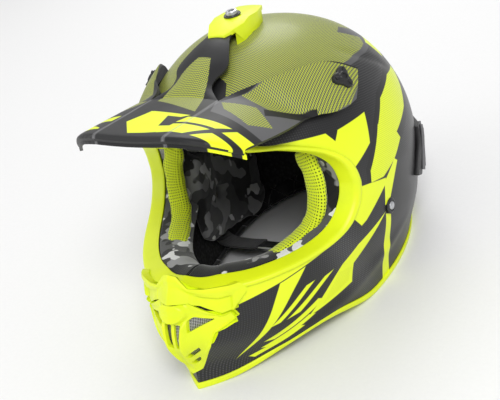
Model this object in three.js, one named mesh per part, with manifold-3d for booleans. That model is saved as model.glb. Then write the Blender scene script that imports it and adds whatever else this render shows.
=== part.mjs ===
// Motocross helmet: composite shell, foam liners, padding, chin strap and an adjustable peak.
//
// Everything is drawn in the head frame, in millimetres: front is -Y, up is +Z and the wearer's
// left is +X. The finished group leans back by restPitch, so that the rim lies on the ground.

import * as THREE from 'three';
import { mergeVertices } from 'three/addons/utils/BufferGeometryUtils.js';
import Module from 'manifold-3d';

const wasm = await Module();
wasm.setup();

// ---- Shell ------------------------------------------------------------------------------------
const shellHalfWidth = 114; // widest half width, level with the temples
const browReach = 143; // head centre to the brow, forwards
const napeReach = 138; // head centre to the back of the head
const crownLevel = 139; // height of the widest section
const crownRise = 126; // crown above the widest section
const chinReach = 41; // how far the chin bar stands in front of the brow
const shellWall = 3;
const gap = 0.4; // between pieces that touch
const restPitch = 15; // degrees that the helmet leans back on the ground
const rimDrop = 35.2; // head centre line above the ground plane, along the leaning Z

// ---- Edge trims -------------------------------------------------------------------------------
const rimHeight = 5;
const rimArch = 13; // rise of the rim between chin and cheek
const rimProud = 1.6;
const rimInside = 7;
const portLip = 1.6; // eyeport lip thickness
const portLipOff = 1; // its underside, clear of the shell's flats
const portDepth = 12; // eyeport flange, inwards from the shell
const portFlange = 6.5; // eyeport flange, towards the middle of the opening
const portLipWidth = 3.4;
const portWall = 2.6;

// ---- Peak -------------------------------------------------------------------------------------
const peakThickness = 2.6;
const peakStandoff = 7; // top of the peak above the crown
const bladeReach = 67; // front edge ahead of the blade root
const bladeHalfWidth = 78; // at the front corners
const ridgeHalfWidth = 32.5;
const peakTilt = 4; // degrees each way
const knobRadius = 9.5;
const screwRadius = 5;
const shankRadius = 3;

// ---- Liner ------------------------------------------------------------------------------------
const foamThickness = 26;
const chinFoam = 18;
const fabricThickness = 6;
const cheekPad = 14;
const strapWidth = 22;
const strapThickness = 1.8;

const rad = THREE.MathUtils.degToRad;
const vec = (x, y, z) => new THREE.Vector3(x, y, z);
const mix = THREE.MathUtils.lerp;

// ---- Surfaces ---------------------------------------------------------------------------------

// A smooth curve through [place, value] stations, level outside them.
function through(stations) {
  const n = stations.length;
  const slope = stations.map((_, i) => {
    const [a, b] = [stations[Math.max(i - 1, 0)], stations[Math.min(i + 1, n - 1)]];
    return (b[1] - a[1]) / (b[0] - a[0]);
  });
  return (place) => {
    if (place <= stations[0][0]) return stations[0][1];
    if (place >= stations[n - 1][0]) return stations[n - 1][1];
    const i = stations.findIndex((s) => s[0] > place) - 1;
    const [[x0, v0], [x1, v1]] = [stations[i], stations[i + 1]];
    const span = x1 - x0;
    const k = (place - x0) / span;
    const k2 = k * k;
    const k3 = k2 * k;
    return (2 * k3 - 3 * k2 + 1) * v0 + (k3 - 2 * k2 + k) * span * slope[i]
      + (3 * k2 - 2 * k3) * v1 + (k3 - k2) * span * slope[i + 1];
  };
}

// How much narrower each level is than the widest one, and how far its front and back stand off.
const tuckAt = through([[-15, 22], [25, 17], [60, 12], [95, 3], [crownLevel, 0]]);
const jawAt = through([[-15, 0.56], [12, 0.61], [40, 1], [70, 0.88], [100, 0.56], [crownLevel, 0]]);
const napeAt = through([[-15, 30], [25, 20], [60, 9], [95, 0], [crownLevel, 2]]);
const frontPowerAt = through([[-15, 1.1], [25, 1.2], [60, 1.5], [110, 1.7], [150, 1.9], [190, 2.05]]);
const rearPower = 2.1;
const domePower = 0.9;
const domeShift = 6;

// A point of the shell, t radians round from the front centre and z up, off outside its surface.
function shellPoint(t, z, off = 0) {
  const above = Math.max(0, (z - crownLevel) / (crownRise + off));
  const dome = Math.sqrt(Math.max(0, 1 - above * above));
  const level = Math.min(z, crownLevel);
  const c = Math.cos(t);
  const s = Math.abs(Math.sin(t));
  const front = c > 0;
  const width = (shellHalfWidth - tuckAt(level) + off) * dome ** domePower;
  const reach = front ? browReach + chinReach * jawAt(level) + off : napeReach - napeAt(level) + off;
  const x = Math.sign(Math.sin(t)) * width * s ** (2 / (front ? frontPowerAt(z) : rearPower));
  const y = front ? -reach * dome * c : reach * dome * (-c) ** (2 / rearPower);
  return vec(x, y - domeShift * (1 - dome), z);
}

// The same by elevation on the crown, phi radians above the widest section.
const crownPoint = (t, phi, off = 0) => shellPoint(t, crownLevel + (crownRise + off) * Math.sin(phi), off);

// The crown point that lies x from the centre line, on the arc that rises by phi in front.
function crownAt(x, phi, off) {
  const z = crownLevel + (crownRise + off) * Math.sin(phi);
  const width = (shellHalfWidth + off) * Math.cos(phi) ** domePower;
  const s = Math.min(1, Math.abs(x) / width) ** (frontPowerAt(z) / 2);
  return shellPoint(Math.sign(x) * Math.asin(s), z, off);
}

// The side of the shell at a place y, z: only its half width is unknown.
function sideReach(y, z, off = 0) {
  const at = (t) => shellPoint(t, z, off);
  let [low, high] = [0, Math.PI];
  for (let i = 0; i < 40; i++) {
    const t = (low + high) / 2;
    if (at(t).y < y) low = t;
    else high = t;
  }
  return at(low).x;
}

// ---- Solids -----------------------------------------------------------------------------------

function toSolid(geometry) {
  geometry.deleteAttribute('normal');
  geometry.deleteAttribute('uv');
  const merged = mergeVertices(geometry, 1e-4);
  const index = merged.index.array;
  const faces = [];
  for (let i = 0; i < index.length; i += 3) {
    const [a, b, c] = [index[i], index[i + 1], index[i + 2]];
    if (a !== b && b !== c && c !== a) faces.push(a, b, c);
  }
  return new wasm.Manifold(new wasm.Mesh({
    numProp: 3,
    vertProperties: new Float32Array(merged.attributes.position.array),
    triVerts: new Uint32Array(faces),
  }));
}

// Joins rings of points, each seen turning left from the far end, and closes both ends to a tip.
function loft(rings, startTip, endTip) {
  const places = [];
  const quad = (a, b, c, d) => places.push(a, b, c, a, c, d);
  const count = rings[0].length;
  const next = (j) => (j + 1) % count;
  for (let i = 0; i + 1 < rings.length; i++) {
    for (let j = 0; j < count; j++) {
      quad(rings[i][j], rings[i][next(j)], rings[i + 1][next(j)], rings[i + 1][j]);
    }
  }
  const last = rings[rings.length - 1];
  for (let j = 0; j < count; j++) {
    places.push(startTip, rings[0][next(j)], rings[0][j]);
    places.push(endTip, last[j], last[next(j)]);
  }
  return toSolid(new THREE.BufferGeometry().setFromPoints(places));
}

const middle = (ring) => ring.reduce((sum, p) => sum.add(p), vec(0, 0, 0)).divideScalar(ring.length);
const loftFlat = (rings) => loft(rings, middle(rings[0]), middle(rings[rings.length - 1]));

// A closed loop of rings, such as a trim round an opening.
function loopLoft(rings) {
  const places = [];
  rings.forEach((ring, i) => {
    const after = rings[(i + 1) % rings.length];
    ring.forEach((a, j) => {
      const k = (j + 1) % ring.length;
      places.push(a, ring[k], after[k], a, after[k], after[j]);
    });
  });
  return toSolid(new THREE.BufferGeometry().setFromPoints(places));
}

// The whole body inside the shell surface, moved out by off.
function headBody(off) {
  const levels = [-45, -14, 16, 45, 72, 100, crownLevel];
  const [sides, rows] = [32, 5];
  const turn = (j) => (2 * Math.PI * j) / sides;
  const ring = (z) => Array.from({ length: sides }, (_, j) => shellPoint(turn(j), z, off));
  const rings = levels.map(ring);
  for (let i = 1; i < rows; i++) {
    rings.push(ring(crownLevel + (crownRise + off) * Math.sin((Math.PI / 2) * (i / rows))));
  }
  return loft(rings, vec(0, 0, levels[0]), vec(0, -domeShift, crownLevel + crownRise + off));
}

const bodies = new Map();
function body(off) {
  if (!bodies.has(off)) bodies.set(off, headBody(off));
  return bodies.get(off);
}
const layer = (outer, inner) => body(outer).subtract(body(inner));

// Prisms of an outline seen from one side: y, z along X; x, z along Y; x, y along Z.
function prism(points, from, to, right, up) {
  const outline = new THREE.Shape(points.map(([a, b]) => new THREE.Vector2(a, b)));
  const geometry = new THREE.ExtrudeGeometry(outline, { depth: to - from, bevelEnabled: false });
  const along = right.clone().cross(up);
  geometry.translate(0, 0, from);
  geometry.applyMatrix4(new THREE.Matrix4().makeBasis(right, up, along));
  return toSolid(geometry);
}
const sideSlab = (points, from, to) => prism(points, from, to, vec(0, 1, 0), vec(0, 0, 1));
const frontSlab = (points, from, to) => prism(points, from, to, vec(1, 0, 0), vec(0, 0, 1));
const mirrored = (points) => [...points, ...points.map(([x, z]) => [-x, z]).reverse()];

// The rim, a plane when the helmet stands, arched between the chin and the cheeks.
const archFrom = -158;
const archTo = -25;
function rimLevel(y, above = 0) {
  const k = THREE.MathUtils.clamp((y - archFrom) / (archTo - archFrom), 0, 1);
  const arch = rimArch * Math.sin(Math.PI * k) ** 2;
  return (rimDrop + arch + above + y * Math.sin(rad(restPitch))) / Math.cos(rad(restPitch));
}
function belowRim(above, step = 19) {
  const far = 300;
  const points = [[-far, rimLevel(-far, above)]];
  for (let y = archFrom; y < archTo; y += step) points.push([y, rimLevel(y, above)]);
  points.push([archTo, rimLevel(archTo, above)], [far, rimLevel(far, above)], [far, -far], [-far, -far]);
  return sideSlab(points, -far, far);
}

// A round bar from one point to another.
function bar(from, to, radius, sides = 14) {
  const geometry = new THREE.CylinderGeometry(radius, radius, from.distanceTo(to), sides);
  const turn = new THREE.Quaternion().setFromUnitVectors(vec(0, 1, 0), to.clone().sub(from).normalize());
  geometry.applyQuaternion(turn);
  geometry.translate(...from.clone().add(to).multiplyScalar(0.5).toArray());
  return toSolid(geometry);
}

// A rectangular block on its own axes: right, up, and right x up, centred at a point.
function block(centre, size, right = vec(1, 0, 0), up = vec(0, 0, 1)) {
  const geometry = new THREE.BoxGeometry(...size);
  const along = right.clone().cross(up);
  geometry.applyMatrix4(new THREE.Matrix4().makeBasis(right, up, along).setPosition(centre));
  return toSolid(geometry);
}

// ---- Assembly ---------------------------------------------------------------------------------

const helmet = new THREE.Group();
const leaning = new THREE.Group();
leaning.rotation.x = -rad(restPitch);
leaning.position.z = -rimDrop;
helmet.add(leaning);

const finishes = {
  shell: { color: 0x2b2b2d, roughness: 0.32, metalness: 0 },
  yellow: { color: 0xe4fb2f, roughness: 0.38, metalness: 0 },
  peak: { color: 0x3a3a3c, roughness: 0.36, metalness: 0 },
  blackPlastic: { color: 0x151517, roughness: 0.5, metalness: 0 },
  greyPlastic: { color: 0x77777a, roughness: 0.45, metalness: 0 },
  steel: { color: 0xc4c6c9, roughness: 0.3, metalness: 1 },
  darkSteel: { color: 0x3b3c40, roughness: 0.4, metalness: 0.8 },
  foam: { color: 0x1d1d1f, roughness: 0.9, metalness: 0 },
  fabric: { color: 0x3c3d40, roughness: 0.95, metalness: 0 },
  meshFabric: { color: 0xcfe63a, roughness: 0.9, metalness: 0 },
  webbing: { color: 0x111113, roughness: 0.85, metalness: 0 },
  rubber: { color: 0x101011, roughness: 0.8, metalness: 0 },
};

function add(name, solid, finish) {
  const mesh = solid.getMesh();
  const geometry = new THREE.BufferGeometry();
  geometry.setAttribute('position', new THREE.BufferAttribute(new Float32Array(mesh.vertProperties), 3));
  geometry.setIndex(new THREE.BufferAttribute(new Uint32Array(mesh.triVerts), 1));
  geometry.computeVertexNormals();
  const part = new THREE.Mesh(geometry, new THREE.MeshStandardMaterial(finishes[finish]));
  part.name = name;
  leaning.add(part);
}

// Makes a left piece and its mirror image on the right.
function addPair(name, makeSolid, finish) {
  add(`${name}_left`, makeSolid(1), finish);
  add(`${name}_right`, makeSolid(-1), finish);
}

const half = (side, far = 300, from = 0) => {
  const [low, high] = side > 0 ? [from, far] : [-far, -from];
  return frontSlab([[low, -far], [high, -far], [high, far + 100], [low, far + 100]], -far, far);
};

// ---- Eyeport ----------------------------------------------------------------------------------

// The right half of the opening on the shell, as [degrees round, height], from brow to chin.
const portHalf = [[0, 186], [24, 185], [42, 179], [54, 171], [62, 159], [66, 141], [66.5, 122],
  [62, 104], [52, 93], [38, 86], [20, 83], [0, 83]];
const portMiddle = 134;
const portSteps = 44;
const portPlaces = [...portHalf, ...portHalf.slice(1, -1).reverse().map(([t, z]) => [-t, z])];
const aroundScale = 110; // millimetres a radian, so that its steps are even on the shell
const portCurve = new THREE.CatmullRomCurve3(portPlaces.map(([t, z]) => vec(rad(t) * aroundScale, z, 0)),
  true, 'centripetal');
const portRing = portCurve.getSpacedPoints(portSteps).slice(0, portSteps)
  .map((p) => p.divide(vec(aroundScale, 1, 1)));

// The opening drawn in by a distance, on the surface moved out by off.
function portAt(inset, off) {
  return portRing.map(({ x: t, y: z }) => {
    const across = shellPoint(t, z).distanceTo(shellPoint(0, portMiddle));
    const keep = 1 - inset / across;
    return shellPoint(t * keep, mix(portMiddle, z, keep), off);
  });
}
function portCutter(inset = 0, inside = -70) {
  const steps = [30, portLipOff, -portDepth, inside].filter((off, i) => i > 2 || off > inside);
  return loft(steps.map((off) => portAt(inset, off)),
    vec(0, -browReach - 260, portMiddle), vec(0, 0, portMiddle));
}

// ---- Shell and edge trims ---------------------------------------------------------------------

const pivotPhi = rad(37);
const pivotTurn = rad(68);
const pivotSpot = crownPoint(pivotTurn, pivotPhi);
function normalAt(t, phi) {
  const step = 0.01;
  const round = crownPoint(t + step, phi).sub(crownPoint(t - step, phi));
  const up = crownPoint(t, phi + step).sub(crownPoint(t, phi - step));
  return round.cross(up).normalize();
}
const pivotNormal = normalAt(pivotTurn, pivotPhi);
const onSide = (p, side) => vec(p.x * side, p.y, p.z);
const alongPivot = (side, from, to, radius, sides) => {
  const axis = onSide(pivotNormal, side);
  const spot = onSide(pivotSpot, side);
  return bar(spot.clone().addScaledVector(axis, from), spot.clone().addScaledVector(axis, to), radius, sides);
};

const rivetTurn = rad(84);
const rivetLevel = 105;
const rivetSpot = shellPoint(rivetTurn, rivetLevel);
const boreGap = 0.5;
const far = 300;

// The chin vent: its outline from the front, upper seam to lower tip.
const ventTop = 76;
const ventHalf = [[14, ventTop], [35, 63.5], [41, 65], [43, 60], [30, 50], [25, 38], [9, 13], [0, 8]];
const ventOpening = [[10, 68], [30, 58], [22, 48], [18, 36], [7, 22], [0, 18]];
const ventDepth = 5.5;

function insetOutline(points, amount, centre = [0, 44]) {
  return points.map(([x, z]) => {
    const length = Math.hypot(x - centre[0], z - centre[1]);
    const keep = 1 - amount / length;
    return [centre[0] + (x - centre[0]) * keep, centre[1] + (z - centre[1]) * keep];
  });
}
const chinBand = (points, y = -100) => frontSlab(mirrored(points), -y, far);

const throughSide = (spot, radius, from = 40, to = far) =>
  bar(vec(from, spot.y, spot.z), vec(to, spot.y, spot.z), radius + boreGap)
    .add(bar(vec(-to, spot.y, spot.z), vec(-from, spot.y, spot.z), radius + boreGap));
const shellBores = throughSide(rivetSpot, shankRadius)
  .add(alongPivot(1, -20, 20, shankRadius + boreGap)).add(alongPivot(-1, -20, 20, shankRadius + boreGap));

const scoopPhi = rad(74); // the top screw's place on the crown
const screwSpot = crownAt(0, scoopPhi, 0);
const screwAxis = vec(0, -Math.cos(scoopPhi) * 0.92, Math.sin(scoopPhi)).normalize();
const alongScrew = (from, to, radius, sides) => bar(
  screwSpot.clone().addScaledVector(screwAxis, from), screwSpot.clone().addScaledVector(screwAxis, to),
  radius, sides);
const screwBore = bar(screwSpot.clone().addScaledVector(screwAxis, -shellWall - 6),
  screwSpot.clone().addScaledVector(screwAxis, 30), shankRadius + boreGap);

const shellEdge = belowRim(rimHeight + gap);
const outerShell = layer(0, -shellWall)
  .subtract(shellEdge).subtract(portCutter())
  .subtract(chinBand(ventOpening)).subtract(shellBores).subtract(screwBore);
add('outer_shell', outerShell, 'shell');

const rimTrim = layer(rimProud, -rimInside).subtract(belowRim(0))
  .intersect(belowRim(rimHeight));
add('rim_trim', rimTrim, 'yellow');

const lipTop = portLipOff + portLip;
const portGap = 1.5 * gap; // trim to the shell's cut edge
const portSections = [
  portAt(-portLipWidth, portLipOff), portAt(portGap, portLipOff), portAt(portGap, -portDepth),
  portAt(portFlange, -portDepth), portAt(portFlange - 1, portWall - portDepth),
  portAt(portGap + portWall, portWall - portDepth), portAt(portGap + portWall - 1, lipTop),
  portAt(0.6 - portLipWidth, lipTop),
].reverse();
const portTrim = loopLoft(portRing.map((_, j) => portSections.map((ring) => ring[j])));
add('eyeport_trim', portTrim, 'yellow');
const portKeepOut = portCutter(-portLipWidth - 1, -shellWall - gap)
  .add(portCutter(-0.6, -portDepth - 1));

// ---- Chin -------------------------------------------------------------------------------------

const guardHalf = [[0, 99], [6, 97.5], [15, 88], [26, 87], [48, 88], [51, 82], [44, 67], [41, 66 + gap],
  [35.5, 64.5 + gap], [15, ventTop + gap], [0, ventTop + gap]];
const guardProud = 8;
add('nose_guard', layer(guardProud, lipTop + 2).intersect(chinBand(guardHalf)),
  'yellow');

const windowShapes = [
  [[12, 52], [12, 62], [17, 66], [30, 62], [17, 55]],
  [[1.5, 40], [1.5, 60], [5.5, 60], [4, 44]],
  [[6, 31], [17, 38], [17, 35], [7, 28]],
  [[5, 22], [13, 27], [12, 23.5], [6, 19.5]],
];
let ventCover = layer(ventDepth, gap).intersect(chinBand(ventHalf));
for (const shape of windowShapes) {
  const opposite = shape.map(([x, z]) => [-x, z]);
  ventCover = ventCover.subtract(frontSlab(shape, 100, far)).subtract(frontSlab(opposite, 100, far));
}
add('chin_vent_cover', ventCover, 'yellow');

add('chin_vent_mesh', layer(-0.6, -1.8)
  .intersect(chinBand(insetOutline(ventOpening, 1))), 'darkSteel');

// ---- Peak -------------------------------------------------------------------------------------

// A sheet from rows of points, each row across and the rows from front to back, with its
// underside peakThickness below it.
function sheet(rows, thickness) {
  const [n, m] = [rows.length, rows[0].length];
  const at = (i, j) => rows[THREE.MathUtils.clamp(i, 0, n - 1)][THREE.MathUtils.clamp(j, 0, m - 1)];
  const under = rows.map((row, i) => row.map((p, j) => {
    const across = at(i, j + 1).clone().sub(at(i, j - 1));
    const back = at(i + 1, j).clone().sub(at(i - 1, j));
    return p.clone().addScaledVector(across.cross(back).normalize(), -thickness);
  }));
  return loftFlat(rows.map((row, i) => [...row].concat([...under[i]].reverse())));
}

// The blade stands in front of the crown from here: its root is over the brow.
const rootPhi = rad(37.5);
const rootAhead = 13;
const bladeDrop = 7; // front edge below the root
const cornerBack = 28; // corners behind the front edge
const cornerDrop = 16; // corners below the ridges
const neckHalfWidth = 17;
const tabHalfWidth = 11;
const rootRidge = crownAt(ridgeHalfWidth, rootPhi, peakStandoff).add(vec(0, -rootAhead, 0));
const ridgeAt = (ahead, k) => rootRidge.clone().add(vec(0, -ahead, -bladeDrop * k));
const bladeShares = [1, 0.66, 0.33, 0];
const ridge = bladeShares.map((k) => ridgeAt(bladeReach * k, k));

// The spine, from the root over the neck to the tab under the scoop: [half width, phi, rise].
const spinePlaces = [[23, 49.4, 6], [17, 57, 3.5], [tabHalfWidth, 64, 1], [tabHalfWidth, 74, 0.5],
  [tabHalfWidth, 80, 0.5]];
const spineEdge = spinePlaces.map(([x, phi]) => crownAt(x, rad(phi), peakStandoff));
const neckEdge = [0.33, 0.62].map((k) => ridge[3].clone().lerp(spineEdge[0], k).setX(
  mix(neckHalfWidth + 3, neckHalfWidth, k)));
const centreEdge = [...ridge, ...neckEdge, ...spineEdge];
const centreRise = [-1, 0, 1, 3, 5, 6, ...spinePlaces.map((p) => p[2])];
const acrossCentre = [-1, -0.5, 0, 0.5, 1];
const centreRows = centreEdge.map((edge, i) => acrossCentre.map((k) =>
  vec(edge.x * k, edge.y, edge.z + centreRise[i] * (1 - k * k))));

// The arms lie on the crown: [degrees round, elevation] of their inner and outer edges.
const armInner = [[24, 39.7], [40, 43.2], [60, 45], [70, 43.2], [79, 38.6]];
const armOuter = [[49, 26.3], [54, 26.8], [59, 26.4], [65, 26.6], [71, 28.2]];
const armStart = crownPoint(rad(armOuter[0][0]), rad(armOuter[0][1]), peakStandoff);
const bladeCorner = ridge[0].clone().setX(bladeHalfWidth).add(vec(0, cornerBack, -cornerDrop));
const acrossArm = [0, 0.2, 0.4, 0.6, 0.8, 1];
const overlap = 1.2; // of the wing and the centre panel, which are one moulding
const wingBulge = 4;
function wingRows(side) {
  const rows = ridge.map((inner, i) => {
    const outer = bladeCorner.clone().lerp(armStart, (1 - bladeShares[i]) * 0.72);
    outer.x += 3 * Math.sin(Math.PI * (1 - bladeShares[i]) * 0.72);
    const from = inner.clone().add(vec(-overlap, 0, 0));
    return acrossArm.map((k) => from.clone().lerp(outer, k)
      .add(vec(0, -1.5 * wingBulge * Math.sin(Math.PI * k) * bladeShares[i],
        wingBulge * Math.sin(Math.PI * k))));
  });
  armInner.forEach(([t0, phi0], i) => {
    const [t1, phi1] = armOuter[i];
    rows.push(acrossArm.map((k) =>
      crownPoint(rad(mix(t0, t1, k)), rad(mix(phi0, phi1, k)), peakStandoff)));
  });
  return rows.map((row) => {
    const placed = row.map((p) => vec(p.x * side, p.y, p.z));
    return side > 0 ? placed : placed.reverse();
  });
}

const screwReach = Math.hypot(screwSpot.y - pivotSpot.y, screwSpot.z - pivotSpot.z);
const slotTravel = screwReach * Math.sin(rad(peakTilt)) + 1;
const slotHalf = shankRadius + 0.8;
const slideDirection = vec(0, screwAxis.z, -screwAxis.y);
const tabSlot = block(screwSpot.clone().addScaledVector(screwAxis, 8),
  [2 * slotHalf, 2 * (slotTravel + slotHalf), 30], vec(1, 0, 0), slideDirection);
let peak = sheet(centreRows, peakThickness);
for (const side of [1, -1]) {
  peak = peak.add(sheet(wingRows(side), peakThickness))
    .subtract(alongPivot(side, -5, 30, shankRadius + 0.9));
}
add('peak', peak.subtract(tabSlot), 'peak');

// ---- Peak fasteners ---------------------------------------------------------------------------

const knobSeat = peakStandoff + 1;
const knobThickness = 6.5;
const insertDepth = 7;
const insertRadius = 8;
const lobes = 3;

function knobShape(radius, steps = 24) {
  const points = Array.from({ length: steps }, (_, i) => {
    const turn = (2 * Math.PI * i) / steps;
    const r = radius * (0.78 + 0.22 * Math.cos(lobes * turn));
    return new THREE.Vector2(r * Math.cos(turn), r * Math.sin(turn));
  });
  return new THREE.Shape(points);
}
function knob(side) {
  const geometry = new THREE.ExtrudeGeometry(knobShape(knobRadius),
    { depth: knobThickness, bevelEnabled: false });
  const axis = onSide(pivotNormal, side);
  geometry.applyQuaternion(new THREE.Quaternion().setFromUnitVectors(vec(0, 0, 1), axis));
  geometry.translate(...onSide(pivotSpot, side).addScaledVector(axis, knobSeat).toArray());
  return toSolid(geometry).add(alongPivot(side, -shellWall - insertDepth + 1, knobSeat + 1, shankRadius));
}
addPair('peak_knob', knob, 'blackPlastic');
const washerTop = peakStandoff - peakThickness - 0.9;
addPair('peak_washer', (side) => layer(washerTop, gap).intersect(alongPivot(side, -10, 20, 8))
  .subtract(alongPivot(side, -12, 30, shankRadius + 0.5)), 'rubber');
addPair('peak_insert', (side) => layer(-shellWall - gap, -shellWall - insertDepth)
  .intersect(alongPivot(side, -25, 10, insertRadius, 6))
  .subtract(alongPivot(side, -40, 30, shankRadius + 0.4)), 'darkSteel');

// The scoop bridges the tab: its feet stand on the shell and the screw goes through its roof.
const tunnelHalfWidth = tabHalfWidth + 2;
const footWidth = 4;
const tunnelTop = peakStandoff + 3.4; // the tab's room under the roof
const roofThickness = 3.4;
const scoopFront = 30;
const scoopBack = 24;
const topSlab = (points) => prism(points, 0, far, vec(1, 0, 0), vec(0, 1, 0));
const scoopHalf = tunnelHalfWidth + footWidth;
const scoopOutline = [[-scoopHalf, 8], [-scoopHalf, -14], [-8, -scoopFront], [8, -scoopFront],
  [scoopHalf, -14], [scoopHalf, 8], [12, scoopBack], [-12, scoopBack]]
  .map(([x, y]) => [x, y + screwSpot.y]);
const tunnel = topSlab([[-1, -60], [1, -60], [1, 60], [-1, 60]]
  .map(([x, y]) => [x * tunnelHalfWidth, screwSpot.y + y]));
const roof = tunnelTop + roofThickness;
let scoop = layer(roof, gap).intersect(topSlab(scoopOutline))
  .subtract(tunnel.intersect(body(tunnelTop)))
  .subtract(alongScrew(-20, 40, shankRadius + 0.5));
// The peak's whole swing stays clear of the scoop.
for (const share of [-1, -0.5, 0, 0.5, 1]) {
  const swung = peak.translate([0, -pivotSpot.y, -pivotSpot.z]).rotate([peakTilt * share, 0, 0])
    .translate([0, pivotSpot.y, pivotSpot.z]);
  for (const lift of [-2 * gap, 2 * gap]) scoop = scoop.subtract(swung.translate([0, 0, lift]));
}
add('top_scoop', scoop, 'yellow');

const headHeight = 3;
const socketDepth = 1.8;
const headSeat = roof + 1;
add('top_screw', alongScrew(headSeat, headSeat + headHeight, screwRadius)
  .add(alongScrew(-shellWall - insertDepth + 1, headSeat + 1, shankRadius))
  .subtract(alongScrew(headSeat + headHeight - socketDepth, headSeat + headHeight + 5, screwRadius * 0.5, 6)),
'steel');
add('top_insert', layer(-shellWall - gap, -shellWall - insertDepth)
  .intersect(alongScrew(-25, 10, insertRadius, 6))
  .subtract(alongScrew(-40, 30, shankRadius + 0.4)), 'darkSteel');

// ---- Vents and spoiler on the shell -----------------------------------------------------------

const browVent = [[9, -6], [9, 16], [22, 12], [27, -2]];
addPair('brow_vent', (side) => layer(2.2, gap).intersect(topSlab(browVent
  .map(([x, y]) => [x * side, y + rootRidge.y + 16]))), 'blackPlastic');
const spoilerSide = [[58, 200], [72, 222], [far, 222], [far, 162], [96, 162]];
const spoilerHalfWidth = 44;
add('rear_spoiler', layer(6.5, gap)
  .intersect(sideSlab(spoilerSide, -spoilerHalfWidth, spoilerHalfWidth)), 'greyPlastic');
const rearVentSide = [[40, 112], [64, 150], [far, 150], [far, 104], [70, 104]];
addPair('rear_vent', (side) => layer(5, gap).intersect(sideSlab(rearVentSide, -far, far))
  .intersect(half(side, far, spoilerHalfWidth + 4)), 'greyPlastic');

// ---- Foam -------------------------------------------------------------------------------------

const foamOuter = -shellWall - gap;
const foamInner = foamOuter - foamThickness;
const splitLevel = 112; // cheek foam below, crown foam above
const splitBack = 45;
const flangeRoom = 8; // foam edge from the eyeport
const roomRound = portCutter(-flangeRoom, foamInner - 30);
const pockets = [alongScrew(-shellWall - insertDepth - 3, 0, insertRadius + 1)];
for (const side of [1, -1]) pockets.push(alongPivot(side, -shellWall - insertDepth - 3, 0, insertRadius + 1));
const crownSide = [[-far, splitLevel], [splitBack, splitLevel], [splitBack, -far], [far, -far], [far, far],
  [-far, far]];
const neckRollTop = 25;
let crownFoam = layer(foamOuter, foamInner).intersect(sideSlab(crownSide, -far, far))
  .subtract(belowRim(neckRollTop + gap)).subtract(roomRound);
for (const pocket of pockets) crownFoam = crownFoam.subtract(pocket);
add('crown_foam', crownFoam, 'foam');

const cheekFront = -100;
const cheekSide = [[cheekFront, 0], [splitBack - gap, 0], [splitBack - gap, splitLevel - gap],
  [cheekFront, splitLevel - gap]];
const cheekFoamBottom = 12;
addPair('cheek_foam', (side) => layer(foamOuter, foamInner)
  .intersect(sideSlab(cheekSide, -far, far)).intersect(half(side)).subtract(roomRound)
  .subtract(belowRim(cheekFoamBottom)).subtract(throughSide(rivetSpot, shankRadius)), 'foam');

const chinFoamTop = 74;
const chinSide = [[-far, -20], [cheekFront - gap, -20], [cheekFront - gap, chinFoamTop], [-far, chinFoamTop]];
add('chin_foam', layer(foamOuter, foamOuter - chinFoam).intersect(sideSlab(chinSide, -far, far))
  .subtract(belowRim(cheekFoamBottom)).subtract(portKeepOut)
  .subtract(chinBand(insetOutline(ventOpening, 2))), 'foam');

// ---- Padding ----------------------------------------------------------------------------------

const wingRoom = portCutter(-flangeRoom + 0.6, foamInner - 30); // the pads' share of it
const linerOuter = foamInner - gap;
const linerInner = linerOuter - fabricThickness;
const padTop = 150;
const padBack = 46;
const linerFront = 200; // over the brow, and lower behind the cheek pads
const linerNape = 118;
const linerSide = [[-far, linerFront], [-20, linerFront], [padBack - 26, padTop + 6],
  [padBack + 2, padTop + 4], [padBack + 4, linerNape], [far, linerNape], [far, far], [-far, far]];
add('comfort_liner', layer(linerOuter, linerInner).intersect(sideSlab(linerSide, -far, far)), 'fabric');

const browPadBottom = 178;
const browPadHalf = 52;
const padBehindFlange = -portDepth - 1.4;
add('brow_pad', layer(padBehindFlange, linerInner - 3).intersect(wingRoom)
  .intersect(sideSlab([[-far, browPadBottom], [-20, browPadBottom], [-20, far], [-far, far]],
    -browPadHalf, browPadHalf)), 'meshFabric');

const slotForStrap = strapThickness + 3.4;
const padOuter = foamInner - slotForStrap;
const padInner = padOuter - cheekPad;
const padFront = -56;
const padBottom = 67;
const padSide = [[padFront, padBottom + 6], [padFront + 8, padBottom], [padBack - 14, padBottom],
  [padBack, padBottom + 14], [padBack, padTop - 26], [padBack - 30, padTop], [padFront, padTop]];
const wingSide = [[-62, 88], [-20, 88], [-20, 166], [-56, 166]];
addPair('cheek_pad', (side) => layer(padOuter, padInner)
  .intersect(sideSlab(padSide, -far, far))
  .add(layer(padBehindFlange, padOuter - 2).intersect(wingRoom)
    .intersect(sideSlab(wingSide, -far, far)))
  .intersect(half(side))
  .subtract(throughSide(rivetSpot, 7, 40, rivetSpot.x + padOuter + 4)), 'fabric');

// A flat pad or strap along a path: width and thickness are half sizes, across is its width's way.
function ribbon(path, width, thickness, across, round = 0) {
  const corners = round > 0
    ? Array.from({ length: 8 }, (_, i) => {
      const turn = (2 * Math.PI * (i + 0.5)) / 8;
      const shape = (v) => Math.sign(v) * Math.abs(v) ** round;
      return [shape(Math.cos(turn)) * width, shape(Math.sin(turn)) * thickness];
    })
    : [[-width, -thickness], [width, -thickness], [width, thickness], [-width, thickness]];
  const rings = path.map((p, i) => {
    const ahead = path[Math.min(i + 1, path.length - 1)].clone()
      .sub(path[Math.max(i - 1, 0)]).normalize();
    const side = across(i).clone();
    side.addScaledVector(ahead, -side.dot(ahead)).normalize();
    const face = ahead.clone().cross(side);
    return corners.map(([a, b]) => p.clone().addScaledVector(side, a).addScaledVector(face, b));
  });
  return loftFlat(rings);
}

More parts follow.
